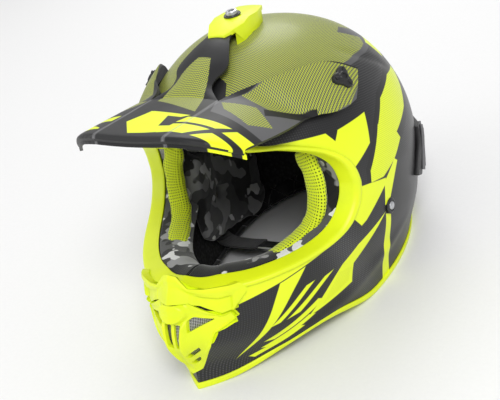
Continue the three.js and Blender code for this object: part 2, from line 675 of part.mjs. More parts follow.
// The temple pads stand in front of the cheek pads and follow the lower corner of the eyeport.
const templeHalfWidth = 11;
const templeHalfDepth = 5;
const templePath = [[64, 168], [70, 152], [73, 134], [71, 118], [66, 104], [57, 95], [47, 88]];
const templeAhead = [6, 4, 3, 4, 9, 27, 47]; // in front of the cheek pads' front face
addPair('temple_pad', (side) => {
  const points = templePath.map(([x, z], i) => vec(x * side, padFront - 8 - templeAhead[i], z));
  const path = new THREE.CatmullRomCurve3(points).getSpacedPoints(9);
  return ribbon(path, templeHalfWidth, templeHalfDepth, () => vec(side, -0.15, 0.25), 0.6);
}, 'meshFabric');

add('neck_roll', layer(foamOuter - gap, foamInner)
  .intersect(sideSlab([[splitBack + 4, -far], [far, -far], [far, far], [splitBack + 4, far]], -far, far))
  .subtract(belowRim(rimHeight + 2)).intersect(belowRim(neckRollTop)), 'fabric');

// ---- Strap anchors ----------------------------------------------------------------------------

const washerRadius = 7;
const rivetHeadRadius = 3.7;
const acrossSide = (side, from, to, radius, sides = 16) =>
  bar(vec(from * side, rivetSpot.y, rivetLevel), vec(to * side, rivetSpot.y, rivetLevel), radius, sides);
addPair('rivet_washer', (side) => layer(2.4, gap).intersect(acrossSide(side, 60, far, washerRadius))
  .subtract(acrossSide(side, 60, far, rivetHeadRadius + gap)), 'darkSteel');

const plateOuter = foamInner - gap;
const plateInner = plateOuter - strapThickness;
const rivetFrom = rivetSpot.x + plateInner - 2;
addPair('strap_rivet', (side) => acrossSide(side, rivetFrom, rivetSpot.x + 0.8, shankRadius)
  .add(acrossSide(side, rivetSpot.x + 0.7, rivetSpot.x + 2.6, rivetHeadRadius))
  .subtract(acrossSide(side, rivetSpot.x + 2, rivetSpot.x + 9, 1.6)), 'steel');
const plateDrop = 12;
const plateSide = (low, high, wide) => [[-wide, low], [wide, low], [wide, high], [-wide, high]]
  .map(([y, z]) => [y + rivetSpot.y, z + rivetLevel]);
addPair('strap_plate', (side) => layer(plateOuter, plateInner)
  .intersect(sideSlab(plateSide(-plateDrop, 5.6, strapWidth / 2 - 1), -far, far)).intersect(half(side))
  .subtract(acrossSide(side, 40, far, shankRadius + gap)), 'steel');

// ---- Chin strap and buckle --------------------------------------------------------------------

const strapY = rivetSpot.y;
const strapLevel = 56; // where the straps meet, under the jaw
const buckleLeft = 36;
const buckleRight = 4;
const buckleWidth = 27;
const buckleHeight = 9;
const bladeThickness = 2;
const bladeWidth = 14;
const bladeEnd = -24;
const strapMiddle = foamInner - slotForStrap / 2;
function strapPath(side, end) {
  const places = [91, 82, 73, 66].map((z) => [sideReach(strapY, z, strapMiddle), z]);
  const low = places[places.length - 1][0];
  places.push([low - 2.5, 61], [low - 8, strapLevel + 0.8], [low - 16, strapLevel - 0.8]);
  places.push([mix(low - 16, end, 0.5), strapLevel - 1], [end, strapLevel]);
  return places.map(([x, z]) => vec(x * side, strapY, z));
}
// The strap's width lies along the cheek foam at its top and straight across at the buckle.
function strapAcross(side, i) {
  const z = Math.max(91 - 9 * i, 60);
  const lean = (sideReach(strapY + 8, z, strapMiddle) - sideReach(strapY - 8, z, strapMiddle)) / 16;
  return vec(i < 5 ? lean * side : 0, 1, 0);
}
addPair('chin_strap', (side) => ribbon(strapPath(side, side > 0 ? buckleLeft + gap : gap - bladeEnd),
  strapWidth / 2, strapThickness / 2, (i) => strapAcross(side, i)), 'webbing');

const buckleSpot = vec((buckleLeft + buckleRight) / 2, strapY, strapLevel);
const buckleLength = buckleLeft - buckleRight;
const bladeSlot = bladeThickness + 2 * gap;
const floorUnder = strapLevel - buckleHeight / 2;
const leverThickness = 2.4;
const leverWidth = 16;
const hingeX = buckleLeft - 5;
const hingeZ = floorUnder - leverThickness / 2 - gap;
const pinRadius = 1.6;
const earThickness = 3;
let buckle = block(buckleSpot, [buckleLength, buckleHeight, buckleWidth])
  .subtract(block(vec(buckleRight + 10, strapY, strapLevel), [26, bladeSlot, bladeWidth + 2 * gap]));
for (const way of [1, -1]) {
  const ear = vec(hingeX, strapY + way * (buckleWidth - earThickness) / 2, floorUnder - 1.5);
  buckle = buckle.add(block(ear, [8, 6.5, earThickness]));
}
const pinAt = (reach, radius) => bar(vec(hingeX, strapY - reach, hingeZ), vec(hingeX, strapY + reach, hingeZ),
  radius, 16);
const leverReach = buckleWidth / 2 - earThickness - gap;
const knuckleRadius = 3;
add('buckle_body', buckle.subtract(pinAt(60, pinRadius + 0.3))
  .subtract(pinAt(leverReach + gap / 2, knuckleRadius + gap)), 'blackPlastic');
const leverLength = 27;
add('buckle_lever', block(vec(hingeX - leverLength / 2 - 2.5, strapY, hingeZ),
  [leverLength, leverThickness, leverWidth])
  .add(pinAt(leverReach, knuckleRadius)
    .subtract(block(vec(hingeX, strapY, hingeZ + 5 + leverThickness / 2), [20, 10, 60])))
  .add(block(vec(hingeX - 2, strapY, hingeZ), [6, leverThickness, leverWidth]))
  .subtract(pinAt(60, pinRadius + 0.3)), 'yellow');
add('buckle_pin', pinAt(buckleWidth / 2 + 0.6, pinRadius), 'steel');
add('buckle_blade', block(vec((bladeEnd + buckleRight + 16) / 2, strapY, strapLevel),
  [buckleRight + 16 - bladeEnd, bladeThickness, bladeWidth]), 'steel');

// ---- Press studs between the cheek pads and the cheek foam --------------------------------------

const studRadius = 5;
const studPlaces = [[-46, 84], [16, 78], [18, 102]];
studPlaces.forEach(([y, z], i) => {
  addPair(`pad_stud_${i + 1}`, (side) => layer(foamInner - gap, padOuter + gap)
    .intersect(bar(vec(20 * side, y, z), vec(far * side, y, z), studRadius)), 'blackPlastic');
});

// ---- Standing on the rim ----------------------------------------------------------------------

helmet.updateMatrixWorld(true);
const bounds = new THREE.Box3().setFromObject(helmet, true);
const centre = bounds.getCenter(vec(0, 0, 0));
helmet.position.set(-centre.x, -centre.y, -bounds.min.z);

export default helmet;
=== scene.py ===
import bmesh
import bpy
import numpy as np
from mathutils import Matrix, Vector


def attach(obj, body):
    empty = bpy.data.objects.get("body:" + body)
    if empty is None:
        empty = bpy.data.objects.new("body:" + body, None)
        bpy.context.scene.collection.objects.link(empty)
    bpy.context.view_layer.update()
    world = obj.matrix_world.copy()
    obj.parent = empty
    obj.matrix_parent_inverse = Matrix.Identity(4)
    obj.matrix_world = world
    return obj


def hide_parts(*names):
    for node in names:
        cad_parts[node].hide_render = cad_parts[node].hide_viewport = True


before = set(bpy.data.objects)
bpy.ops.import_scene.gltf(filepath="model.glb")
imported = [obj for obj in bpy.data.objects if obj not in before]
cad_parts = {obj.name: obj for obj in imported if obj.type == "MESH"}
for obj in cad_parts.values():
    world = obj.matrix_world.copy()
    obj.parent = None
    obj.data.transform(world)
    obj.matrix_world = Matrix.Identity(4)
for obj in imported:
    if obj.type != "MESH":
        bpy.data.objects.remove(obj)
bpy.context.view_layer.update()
scene = bpy.context.scene
print("frame loaded")

# Shapes are worked out in the head frame, in mm: front is -Y, up is +Z, the wearer's left is +X.
# The helmet stands leaned back by the pitch, and its rim lies on the ground.
stance = {"pitch": 15, "rimDrop": 35.2, "shift": -2.656}
shell = {
    "halfWidth": 114, "browReach": 143, "napeReach": 138, "crownLevel": 139, "crownRise": 126,
    "chinReach": 41, "rearPower": 2.1, "domePower": 0.9, "domeShift": 6, "wall": 3,
    "tuck": [(-15, 22), (25, 17), (60, 12), (95, 3), (139, 0)],
    "jaw": [(-15, 0.56), (12, 0.61), (40, 1), (70, 0.88), (100, 0.56), (139, 0)],
    "nape": [(-15, 30), (25, 20), (60, 9), (95, 0), (139, 2)],
    "frontPower": [(-15, 1.1), (25, 1.2), (60, 1.5), (110, 1.7), (150, 1.9), (190, 2.05)],
    "columns": 300, "sideRows": 78, "crownRows": 64,
}
rim = {"height": 5, "arch": 13, "archFrom": -158, "archTo": -25, "proud": 1.6, "inside": 7}
eyeport = {
    "middle": 134, "scale": 110,
    "half": [(0, 186), (24, 185), (42, 179), (54, 171), (62, 159), (66, 141), (66.5, 122),
             (62, 104), (52, 93), (38, 86), (20, 83), (0, 83)],
}


def curveThrough(stations):
    # A smooth curve through (place, value) stations: cubic pieces whose slope at a station is that
    # of the line between its neighbours.
    places, values = np.array(stations, float).T
    slopes = np.gradient(values)
    slopes[1:-1] = (values[2:] - values[:-2]) / (places[2:] - places[:-2])
    slopes[0] = (values[1] - values[0]) / (places[1] - places[0])
    slopes[-1] = (values[-1] - values[-2]) / (places[-1] - places[-2])

    def at(place):
        place = np.clip(place, places[0], places[-1])
        i = np.clip(np.searchsorted(places, place, side="right") - 1, 0, len(places) - 2)
        span = places[i + 1] - places[i]
        k = (place - places[i]) / span
        return ((2 * k**3 - 3 * k**2 + 1) * values[i] + (k**3 - 2 * k**2 + k) * span * slopes[i]
                + (3 * k**2 - 2 * k**3) * values[i + 1] + (k**3 - k**2) * span * slopes[i + 1])
    return at


tuckAt = curveThrough(shell["tuck"])
jawAt = curveThrough(shell["jaw"])
napeAt = curveThrough(shell["nape"])
frontPowerAt = curveThrough(shell["frontPower"])


def smoothStep(value, low, high):
    k = np.clip((value - low) / (high - low), 0, 1)
    return k * k * (3 - 2 * k)


def shellPoint(turn, z, off=0.0):
    # A rounded loop at each height: x = width |sin|^(2/power), y = reach cos, and above the widest
    # level both shrink as sqrt(1 - h^2).
    turn, z, off = np.broadcast_arrays(*(np.asarray(v, float) for v in (turn, z, off)))
    above = np.maximum(0, (z - shell["crownLevel"]) / (shell["crownRise"] + off))
    dome = np.sqrt(np.maximum(0, 1 - above**2))
    level = np.minimum(z, shell["crownLevel"])
    c, s = np.cos(turn), np.abs(np.sin(turn))
    front = c > 0
    width = (shell["halfWidth"] - tuckAt(level) + off) * dome ** shell["domePower"]
    reachFront = shell["browReach"] + shell["chinReach"] * jawAt(level) + off
    reachBack = shell["napeReach"] - napeAt(level) + off
    power = np.where(front, frontPowerAt(z), shell["rearPower"])
    x = np.sign(np.sin(turn)) * width * s ** (2 / power)
    back = np.abs(c) ** (2 / shell["rearPower"])
    y = np.where(front, -reachFront * dome * c, reachBack * dome * back)
    return np.stack([x, y - shell["domeShift"] * (1 - dome), z], -1)


def crownPoint(turn, phi, off=0.0):
    return shellPoint(turn, shell["crownLevel"] + (shell["crownRise"] + off) * np.sin(phi), off)


def frontTurn(x, z, off=0.0):
    # The turn at which the front of the shell is x from the middle.
    above = np.maximum(0, (z - shell["crownLevel"]) / (shell["crownRise"] + off))
    dome = np.sqrt(np.maximum(1e-6, 1 - above**2))
    width = (shell["halfWidth"] - tuckAt(np.minimum(z, shell["crownLevel"])) + off)
    share = np.clip(np.abs(x) / (width * dome ** shell["domePower"]), 0, 1)
    return np.sign(x) * np.arcsin(share ** (frontPowerAt(z) / 2))


def rearTurn(x, z, off=0.0):
    # The turn at which the back of the shell is x from the middle.
    above = np.maximum(0, (z - shell["crownLevel"]) / (shell["crownRise"] + off))
    dome = np.sqrt(np.maximum(1e-6, 1 - above**2))
    width = (shell["halfWidth"] - tuckAt(np.minimum(z, shell["crownLevel"])) + off)
    share = np.clip(np.abs(x) / (width * dome ** shell["domePower"]), 0, 1)
    return np.pi - np.sign(x) * np.arcsin(share ** (shell["rearPower"] / 2))


def sideTurn(y, z, off=0.0):
    # The turn at which the left side of the shell is at y, found by halving.
    y, z, off = np.broadcast_arrays(*(np.asarray(v, float) for v in (y, z, off)))
    low, high = np.zeros(y.shape), np.full(y.shape, np.pi)
    for _ in range(32):
        middle = (low + high) / 2
        before = shellPoint(middle, z, off)[..., 1] < y
        low, high = np.where(before, middle, low), np.where(before, high, middle)
    return low


def rimLevel(y, above=0.0):
    # A plane when the helmet stands, with an arch of sin^2 between chin and cheek.
    k = np.clip((y - rim["archFrom"]) / (rim["archTo"] - rim["archFrom"]), 0, 1)
    arch = rim["arch"] * np.sin(np.pi * k) ** 2
    pitch = np.radians(stance["pitch"])
    return (stance["rimDrop"] + arch + above + y * np.sin(pitch)) / np.cos(pitch)


def rimPoint(turn, off=0.0, above=0.0):
    # The shell's point at its lower edge: height and place are settled by turns.
    z = np.full(np.broadcast(turn, off, above).shape, 20.0)
    for _ in range(12):
        z = rimLevel(shellPoint(turn, z, off)[..., 1], above)
    return shellPoint(turn, z, off)


def toRow(points):
    # Head frame in mm to the row frame in metres: leaned back, lowered and shifted.
    x, y, z = np.moveaxis(np.asarray(points, float), -1, 0)
    c, s = np.cos(np.radians(stance["pitch"])), np.sin(np.radians(stance["pitch"]))
    turned = [x, y * c + z * s + stance["shift"], z * c - y * s - stance["rimDrop"]]
    return np.stack(turned, -1) / 1000


def fromRow(points):
    x, y, z = np.moveaxis(np.asarray(points, float) * 1000, -1, 0)
    y, z = y - stance["shift"], z + stance["rimDrop"]
    c, s = np.cos(np.radians(stance["pitch"])), np.sin(np.radians(stance["pitch"]))
    return np.stack([x, y * c - z * s, y * s + z * c], -1)


def unit(vectors):
    return vectors / np.maximum(np.linalg.norm(vectors, axis=-1, keepdims=True), 1e-9)


def mirrorSides(point, side):
    return np.asarray(point, float) * [side, 1, 1]


# ---- meshes

def gridMesh(name, points, loopRows=False, loopColumns=False, keep=None, caps=False, flip=False):
    # Joins point (i, j) of a grid with (i, j + 1), (i + 1, j + 1) and (i + 1, j).
    rows, columns = points.shape[:2]
    index = np.arange(rows * columns).reshape(rows, columns)
    if loopRows:
        index = np.vstack([index, index[:1]])
    if loopColumns:
        index = np.hstack([index, index[:, :1]])
    corners = [index[:-1, :-1], index[:-1, 1:], index[1:, 1:], index[1:, :-1]]
    faces = np.stack(corners, -1).reshape(-1, 4)
    if keep is not None:
        faces = faces[keep.ravel()]
    if flip:
        faces = faces[:, ::-1]
    faces = faces.tolist()
    if caps:
        ends = [np.arange(columns)[::-1], np.arange(columns) + (rows - 1) * columns]
        faces += [(end[::-1] if flip else end).tolist() for end in ends]
    mesh = bpy.data.meshes.new(name)
    mesh.from_pydata(toRow(points).reshape(-1, 3).tolist(), [], faces)
    piece = bpy.data.objects.new(name, mesh)
    scene.collection.objects.link(piece)
    return piece


def mergeLoose(piece, distance=2e-6, outward=False):
    work = bmesh.new()
    work.from_mesh(piece.data)
    bmesh.ops.remove_doubles(work, verts=work.verts, dist=distance)
    bmesh.ops.delete(work, geom=[v for v in work.verts if not v.link_faces], context="VERTS")
    if outward:
        bmesh.ops.recalc_face_normals(work, faces=work.faces)
        if work.calc_volume(signed=True) < 0:
            bmesh.ops.reverse_faces(work, faces=work.faces)
    work.to_mesh(piece.data)
    work.free()
    return piece


def settle(piece):
    # The piece with its modifiers applied.
    shown = piece.evaluated_get(bpy.context.evaluated_depsgraph_get())
    mesh = bpy.data.meshes.new_from_object(shown)
    piece.modifiers.clear()
    piece.data = mesh
    return piece


def thicken(piece, thickness, offset=-1.0):
    wall = piece.modifiers.new("wall", "SOLIDIFY")
    wall.thickness, wall.offset = thickness / 1000, offset
    settle(piece)
    return mergeLoose(piece, 1e-7, outward=True)


def soften(piece, width, steps=3, angle=32):
    edge = piece.modifiers.new("edge", "BEVEL")
    edge.width, edge.segments, edge.limit_method = width / 1000, steps, "ANGLE"
    edge.angle_limit = np.radians(angle)
    return settle(piece)


def subdivide(piece, levels=1):
    finer = piece.modifiers.new("finer", "SUBSURF")
    finer.levels = finer.render_levels = levels
    return settle(piece)


def cutAway(piece, cutter):
    cut = piece.modifiers.new("cut", "BOOLEAN")
    cut.operation, cut.object, cut.solver = "DIFFERENCE", cutter, "EXACT"
    cut.use_self = True
    settle(piece)
    bpy.data.objects.remove(cutter)
    return piece


def joinPieces(name, pieces):
    work = bmesh.new()
    for piece in pieces:
        work.from_mesh(piece.data)
        bpy.data.objects.remove(piece)
    mesh = bpy.data.meshes.new(name)
    work.to_mesh(mesh)
    work.free()
    joined = bpy.data.objects.new(name, mesh)
    scene.collection.objects.link(joined)
    return joined


def copyNode(node, name=None):
    # A merged copy of a frame piece, to work on.
    piece = bpy.data.objects.new(name or node + "_fine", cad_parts[node].data.copy())
    scene.collection.objects.link(piece)
    return mergeLoose(piece, 1e-6)


def prism(name, outline, near, far):
    # An outline seen from the front, (x, z), carried along Y from near to far.
    outline = np.array(outline, float)
    rows = [np.column_stack([outline[:, 0], np.full(len(outline), y), outline[:, 1]])
            for y in (near, far)]
    return mergeLoose(gridMesh(name, np.stack(rows), loopColumns=True, caps=True), outward=True)


def turned(name, centre, axis, profile, sides=48, lobes=None):
    # A profile of (radius, height) carried round an axis; lobes scales each turn's radius.
    axis = unit(np.asarray(axis, float))
    across = unit(np.cross(axis, [0, 0, 1] if abs(axis[2]) < 0.9 else [0, 1, 0]))
    other = np.cross(axis, across)
    angle = np.linspace(0, 2 * np.pi, sides, endpoint=False)[None, :, None]
    radius, height = np.array(profile, float).T
    radius = radius[:, None, None] * (1 if lobes is None else lobes(angle, radius[:, None, None]))
    points = (np.asarray(centre, float) + axis * height[:, None, None]
              + radius * (np.cos(angle) * across + np.sin(angle) * other))
    return mergeLoose(gridMesh(name, points, loopColumns=True), 4e-6, outward=True)


def rounded(corners, radius, steps=4):
    # Each corner of a closed outline becomes a short curve between points radius either side of it.
    corners = np.array(corners, float)
    before, after = np.roll(corners, 1, 0) - corners, np.roll(corners, -1, 0) - corners
    reach = [np.minimum(radius, np.linalg.norm(v, axis=1) * 0.45)[:, None] for v in (before, after)]
    start, end = corners + unit(before) * reach[0], corners + unit(after) * reach[1]
    k = np.linspace(0, 1, steps)[None, :, None]
    arc = ((1 - k) ** 2 * start[:, None] + 2 * k * (1 - k) * corners[:, None] + k**2 * end[:, None])
    return arc.reshape(-1, corners.shape[1])


def refine(control, count, axis=0):
    # A smooth grid through control points: uniform cubic pieces along one axis.
    control = np.moveaxis(np.asarray(control, float), axis, 0)
    n = len(control)
    slope = np.gradient(control, axis=0)
    place = np.linspace(0, n - 1, count)
    i = np.clip(place.astype(int), 0, n - 2)
    k = (place - i).reshape(-1, *[1] * (control.ndim - 1))
    made = ((2 * k**3 - 3 * k**2 + 1) * control[i] + (k**3 - 2 * k**2 + k) * slope[i]
            + (3 * k**2 - 2 * k**3) * control[i + 1] + (k**3 - k**2) * slope[i + 1])
    return np.moveaxis(made, 0, axis)


def ribbon(name, path, width, thickness, across, crown=0.0, steps=10):
    # A flat strip with round edges along a path: its section is a stadium, bulged by crown.
    ahead = unit(np.gradient(path, axis=0))
    side = unit(across - ahead * np.sum(across * ahead, -1, keepdims=True))
    face = np.cross(ahead, side)
    angle = np.linspace(0, 2 * np.pi, 4 * steps, endpoint=False)
    a = np.sign(np.cos(angle)) * np.abs(np.cos(angle)) ** 0.35 * width / 2
    b = np.sin(angle) * thickness / 2
    b = b + np.sign(b) * crown * np.maximum(0, 1 - (2 * a / width) ** 2)
    points = path[:, None] + a[None, :, None] * side[:, None] + b[None, :, None] * face[:, None]
    return mergeLoose(gridMesh(name, points, loopColumns=True, caps=True), outward=True)


def place(piece, finish, body, slotName, *nodes, sharp=35):
    # Gives a piece its finish, the body it moves with, and the frame pieces it stands for.
    piece.data.materials.clear()
    piece.data.materials.append(finish)
    piece.data.polygons.foreach_set("use_smooth", np.ones(len(piece.data.polygons), bool))
    piece.data.set_sharp_from_angle(angle=np.radians(sharp))
    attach(piece, body)
    if nodes:
        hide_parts(*nodes)
    return piece


# ---- finishes

class Amount:
    # A number socket: arithmetic on it adds Math nodes.

    def __init__(self, finish, socket):
        self.finish, self.socket = finish, socket

    def math(self, operation, *others, swap=False):
        values = [self, *others]
        if swap:
            values.reverse()
        node = self.finish.node("ShaderNodeMath", {"operation": operation}, dict(enumerate(values)))
        return Amount(self.finish, node.outputs[0])

    def __add__(self, other):
        return self.math("ADD", other)

    def __sub__(self, other):
        return self.math("SUBTRACT", other)

    def __mul__(self, other):
        return self.math("MULTIPLY", other)

    def __rsub__(self, other):
        return self.math("SUBTRACT", other, swap=True)

    def __neg__(self):
        return self * -1

    __radd__ = __add__
    __rmul__ = __mul__

    def size(self):
        return self.math("ABSOLUTE")

    def least(self, other):
        return self.math("MINIMUM", other)

    def most(self, other):
        return self.math("MAXIMUM", other)

    def wave(self, pitch):
        return (self * (2 * np.pi / pitch)).math("SINE")

    def rise(self, low, high):
        # 0 below low, 1 above high, smooth between.
        node = self.finish.node("ShaderNodeMapRange", {"interpolation_type": "SMOOTHSTEP"},
                                {"Value": self, "From Min": low, "From Max": high})
        return Amount(self.finish, node.outputs[0])


class Finish:
    # A material built on the head frame's coordinates, in mm.

    def __init__(self, name, **fixed):
        self.material = bpy.data.materials.new(name)
        self.material.use_nodes = True
        self.tree = self.material.node_tree
        self.shader = self.tree.nodes["Principled BSDF"]
        for socket, value in fixed.items():
            self.shader.inputs[socket.replace("_", " ")].default_value = value
        where = self.node("ShaderNodeTexCoord").outputs["Object"]
        pitch = np.radians(stance["pitch"])
        origin = Matrix.Rotation(pitch, 3, "X") @ Vector((0, stance["shift"], -stance["rimDrop"]))
        self.head = self.node("ShaderNodeMapping", {}, {
            "Vector": where, "Scale": (1000, 1000, 1000), "Rotation": (pitch, 0, 0),
            "Location": tuple(-origin)}).outputs[0]
        parts = self.node("ShaderNodeSeparateXYZ", {}, {0: self.head})
        self.x, self.y, self.z = (Amount(self, parts.outputs[k]) for k in "XYZ")

    def node(self, kind, settings=None, inputs=None):
        made = self.tree.nodes.new(kind)
        for key, value in (settings or {}).items():
            if key == "stops":
                while len(made.color_ramp.elements) < len(value):
                    made.color_ramp.elements.new(0.5)
                for element, (position, colour) in zip(made.color_ramp.elements, value):
                    element.position, element.color = position, colour
            else:
                setattr(made, key, value)
        for key, value in (inputs or {}).items():
            socket = made.inputs[key]
            if isinstance(value, Amount):
                value = value.socket
            if isinstance(value, bpy.types.NodeSocket):
                self.tree.links.new(value, socket)
            else:
                socket.default_value = value
        return made

    def colour(self, mask, under, over):
        # Over where the mask is 1, under where it is 0.
        sockets = {0: mask}
        for key, value in ((6, under), (7, over)):
            sockets[key] = value if isinstance(value, bpy.types.NodeSocket) else (*value, 1)
        return self.node("ShaderNodeMix", {"data_type": "RGBA"}, sockets).outputs[2]

    def noise(self, size, detail=2.0, rough=0.5, where=None):
        # Noise whose lumps are about size mm across.
        node = self.node("ShaderNodeTexNoise", {}, {
            "Vector": where or self.head, "Scale": 1 / size, "Detail": detail, "Roughness": rough})
        return Amount(self, node.outputs[0])

    def cells(self, size, random=1.0, kind="F1"):
        node = self.node("ShaderNodeTexVoronoi", {"feature": kind}, {
            "Vector": self.head, "Scale": 1 / size, "Randomness": random})
        return Amount(self, node.outputs["Distance"])

    def inside(self, across, up, outline, edge=0.35):
        # 1 inside a convex outline: the least distance within its edges.
        outline = np.array(outline, float)
        middle = outline.mean(0)
        depth = None
        for start, end in zip(outline, np.roll(outline, -1, 0)):
            along = unit(end - start)
            inward = np.array([-along[1], along[0]])
            inward *= np.sign(np.dot(middle - start, inward))
            gap = across * inward[0] + up * inward[1] - float(np.dot(inward, start))
            depth = gap if depth is None else depth.least(gap)
        return depth.rise(-edge, edge)

    def anyOf(self, masks):
        total = masks[0]
        for mask in masks[1:]:
            total = total.most(mask)
        return total

    def dots(self, across, up, pitch, low=0.1, high=0.45):
        # A diamond lattice of dots.
        return ((across + up).wave(pitch) * (across - up).wave(pitch)).rise(low, high)

    def bump(self, height, distance, strength=1.0, under=None):
        inputs = {"Height": height, "Distance": distance / 1000, "Strength": strength}
        if under is not None:
            inputs["Normal"] = under
        return self.node("ShaderNodeBump", {}, inputs).outputs[0]

    def wear(self, **sockets):
        # Links what varies over the surface to the shader.
        for name, value in sockets.items():
            socket = self.shader.inputs[name.replace("_", " ")]
            if isinstance(value, Amount):
                value = value.socket
            self.tree.links.new(value, socket)
        return self.material


neon = (0.80, 0.92, 0.012)
neonDeep = (0.50, 0.62, 0.01)
charcoal = (0.011, 0.011, 0.012)
coal = (0.006, 0.006, 0.0065)
midGrey = (0.13, 0.13, 0.135)
paleGrey = (0.42, 0.42, 0.43)


def neonMoulding(name, grain=0.25):
    # Moulded neon plastic: fine grain, faint cloudiness, dull where it is handled.
    made = Finish(name, Roughness=0.4, Specular_IOR_Level=0.45)
    cloud = made.noise(38, 3)
    tint = made.colour(cloud.rise(0.35, 0.7), neon, (0.72, 0.85, 0.012))
    grainy = made.noise(0.9, 2) * 0.7 + made.noise(6, 2) * 0.3
    return made.wear(Base_Color=tint, Roughness=cloud * 0.16 + 0.32,
                     Normal=made.bump(grainy, grain, 0.35))


def plainPlastic(name, tint, rough, grain=0.3, metallic=0.0):
    made = Finish(name, Metallic=metallic, Specular_IOR_Level=0.45)
    cloud = made.noise(22, 3)
    scuff = made.noise(3, 4, 0.7).rise(0.62, 0.8)
    lighter = tuple(min(1, c * 1.35 + 0.006) for c in tint)
    shade = made.colour(cloud.rise(0.3, 0.75) * 0.5 + scuff * 0.3, tint, lighter)
    return made.wear(Base_Color=shade, Roughness=cloud * 0.2 + scuff * 0.12 + (rough - 0.1),
                     Normal=made.bump(made.noise(0.7, 2), grain, 0.4))


def brushedMetal(name, tint, rough):
    made = Finish(name, Metallic=1.0)
    streak = made.node("ShaderNodeMapping", {}, {"Vector": made.head, "Scale": (3, 3, 0.15)})
    lines = made.noise(0.8, 3, 0.6, streak.outputs[0])
    shade = made.colour(lines, tint, tuple(c * 0.72 for c in tint))
    return made.wear(Base_Color=shade, Roughness=lines * 0.25 + (rough - 0.1),
                     Normal=made.bump(lines, 0.05, 0.5))


# Outlines of the neon fields and of the jaw's slashes, seen from the side: (y, z).
shellDecor = {
    "neonFields": [
        [(-165, 66), (-147, 70), (-128, 78), (-109, 85), (-86, 95), (-56, 101),
         (-60, 118), (-150, 100)],
        [(-56, 101), (-50, 104), (-23, 126), (-22, 131), (-43, 133), (-62, 134),
         (-66, 112)],
        [(-66, 120), (-43, 133), (-36, 165), (-17, 178), (-30, 189), (-63, 183),
         (-72, 170)],
        [(-84, 160), (-56, 160), (-63, 183), (-70, 183), (-78, 189), (-83, 196),
         (-98, 194), (-124, 189), (-124, 176)],
        [(-160, 176), (-112, 176), (-117, 188), (-160, 200)],
        [(-128, 77), (-109, 85), (-147, 15)],
        [(-25, 102), (-62, 70), (-75, 74), (-59, 86)],
        [(-62, 71), (-62, 53), (-95, 41), (-104, 38), (-75, 74)],
        [(-24, 100), (-16, 97), (-5, 36), (-17, 37)],
        [(-7, 143), (-2, 140), (-19, 108), (-25, 108), (-24, 128)],
        [(40, 231), (54, 215), (70, 222), (60, 234)],
    ],
    "slashes": [
        [(-92, 70), (-84, 73), (-112, 46), (-122, 43)],
        [(-108, 68), (-101, 70), (-127, 42), (-134, 40)],
        [(-97, 52), (-91, 50), (-127, 26), (-134, 26)],
        [(-104, 40), (-98, 39), (-128, 19), (-134, 20)],
        [(-110, 32), (-106, 31), (-136, 12), (-140, 14)],
    ],
}


def shellPaint():
    # The shell's decor: charcoal with a fine woven dot print, neon fields round the eyeport, a
    # dotted band over the temple, stripes from the rivet and slashes on the jaw.
    made = Finish("shellPaint", Coat_Roughness=0.2, Specular_IOR_Level=0.4)
    y, z, side = made.y, made.z, made.x.size()
    flank = side.rise(20, 26)
    crown = (z - y * 0.25).rise(206, 208)
    weave = made.dots(y, z, 3.4, 0.25, 0.75)
    fade = (y * 0.05 + z * 0.045 + made.noise(60, 1) * 2).wave(8.5) * 0.5 + 0.5
    low = made.colour(weave * (fade * 0.8 + 0.12), charcoal, (0.075, 0.075, 0.08))
    # Painted highlight: a pale grey band across the lower side and chin, lighter on the weave's dots, where
    # light catches the shell.
    paintedSheen = (y * 0.9 + z * 0.55 + 18).size().rise(26, 0) * (140 - z).rise(0, 60)
    low = made.colour(paintedSheen * 0.16 * (weave * 0.7 + 0.3), low, paleGrey)
    # crown: neon dots on grey, framed by a black border
    top = made.inside(y, z, [(-150, 196), (-60, 186), (-4, 214), (36, 232), (78, 236), (40, 275),
                             (-60, 275), (-150, 240)])
    topBorder = made.inside(y, z, [(-160, 192), (-58, 182), (-1, 210), (38, 228), (84, 232),
                                   (44, 280), (-60, 280), (-160, 246)])
    printed = made.dots(y, (side - z) * 0.75, 3.0, -0.25, 0.25)
    meshed = made.colour(printed, (0.085, 0.085, 0.085), (0.44, 0.5, 0.04))
    fin = made.inside(y, z, [(10, 246), (66, 226), (90, 222), (60, 238), (24, 248)])
    neonFields = made.anyOf([made.inside(y, z, outline) for outline in shellDecor["neonFields"]])
    slashes = made.anyOf([made.inside(y, z, outline) for outline in shellDecor["slashes"]])
    band = made.inside(y, z, [(60, 206), (74, 192), (37, 176), (10, 152), (-12, 150), (-20, 175),
                              (-3, 193), (30, 205)])
    bandLow = made.inside(y, z, [(10, 156), (-6, 143), (-25, 133), (-41, 133), (-41, 143),
                                 (-20, 176), (0, 170)])
    banded = band.most(bandLow)
    bandPrint = made.colour(made.dots(y, z, 3.0, 0.2, 0.6), neon, neonDeep)
    bandBorder = made.inside(y, z, [(62, 214), (80, 192), (40, 170), (14, 146), (-4, 138), (-30, 128),
                                    (-46, 130), (-46, 146), (-24, 180), (-6, 198), (30, 211)])
    tint = made.colour(topBorder, low, (0.085, 0.085, 0.088))
    tint = made.colour(top * (1 - fin), tint, meshed)
    tint = made.colour(bandBorder, tint, coal)
    tint = made.colour(banded, tint, bandPrint)
    tint = made.colour(neonFields.most(slashes) * flank, tint, neon)
    lens = made.inside(y, z, [(-64, 68), (-66, 56), (-92, 44), (-78, 68)], 1.2)
    tint = made.colour(lens * made.dots(y, z, 2.4, 0.0, 0.5) * 0.5, tint, neonDeep)
    chip = made.noise(5, 5, 0.75).rise(0.74, 0.8) * (40 - z).rise(0, 30)
    tint = made.colour(chip * 0.5, tint, paleGrey)
    haze = made.noise(30, 3)
    made.shader.inputs["Coat Weight"].default_value = 0.15
    grain = made.bump(weave, 0.05, 0.25)
    return made.wear(Base_Color=tint, Roughness=haze * 0.12 + 0.32 + crown * 0.04, Normal=grain)


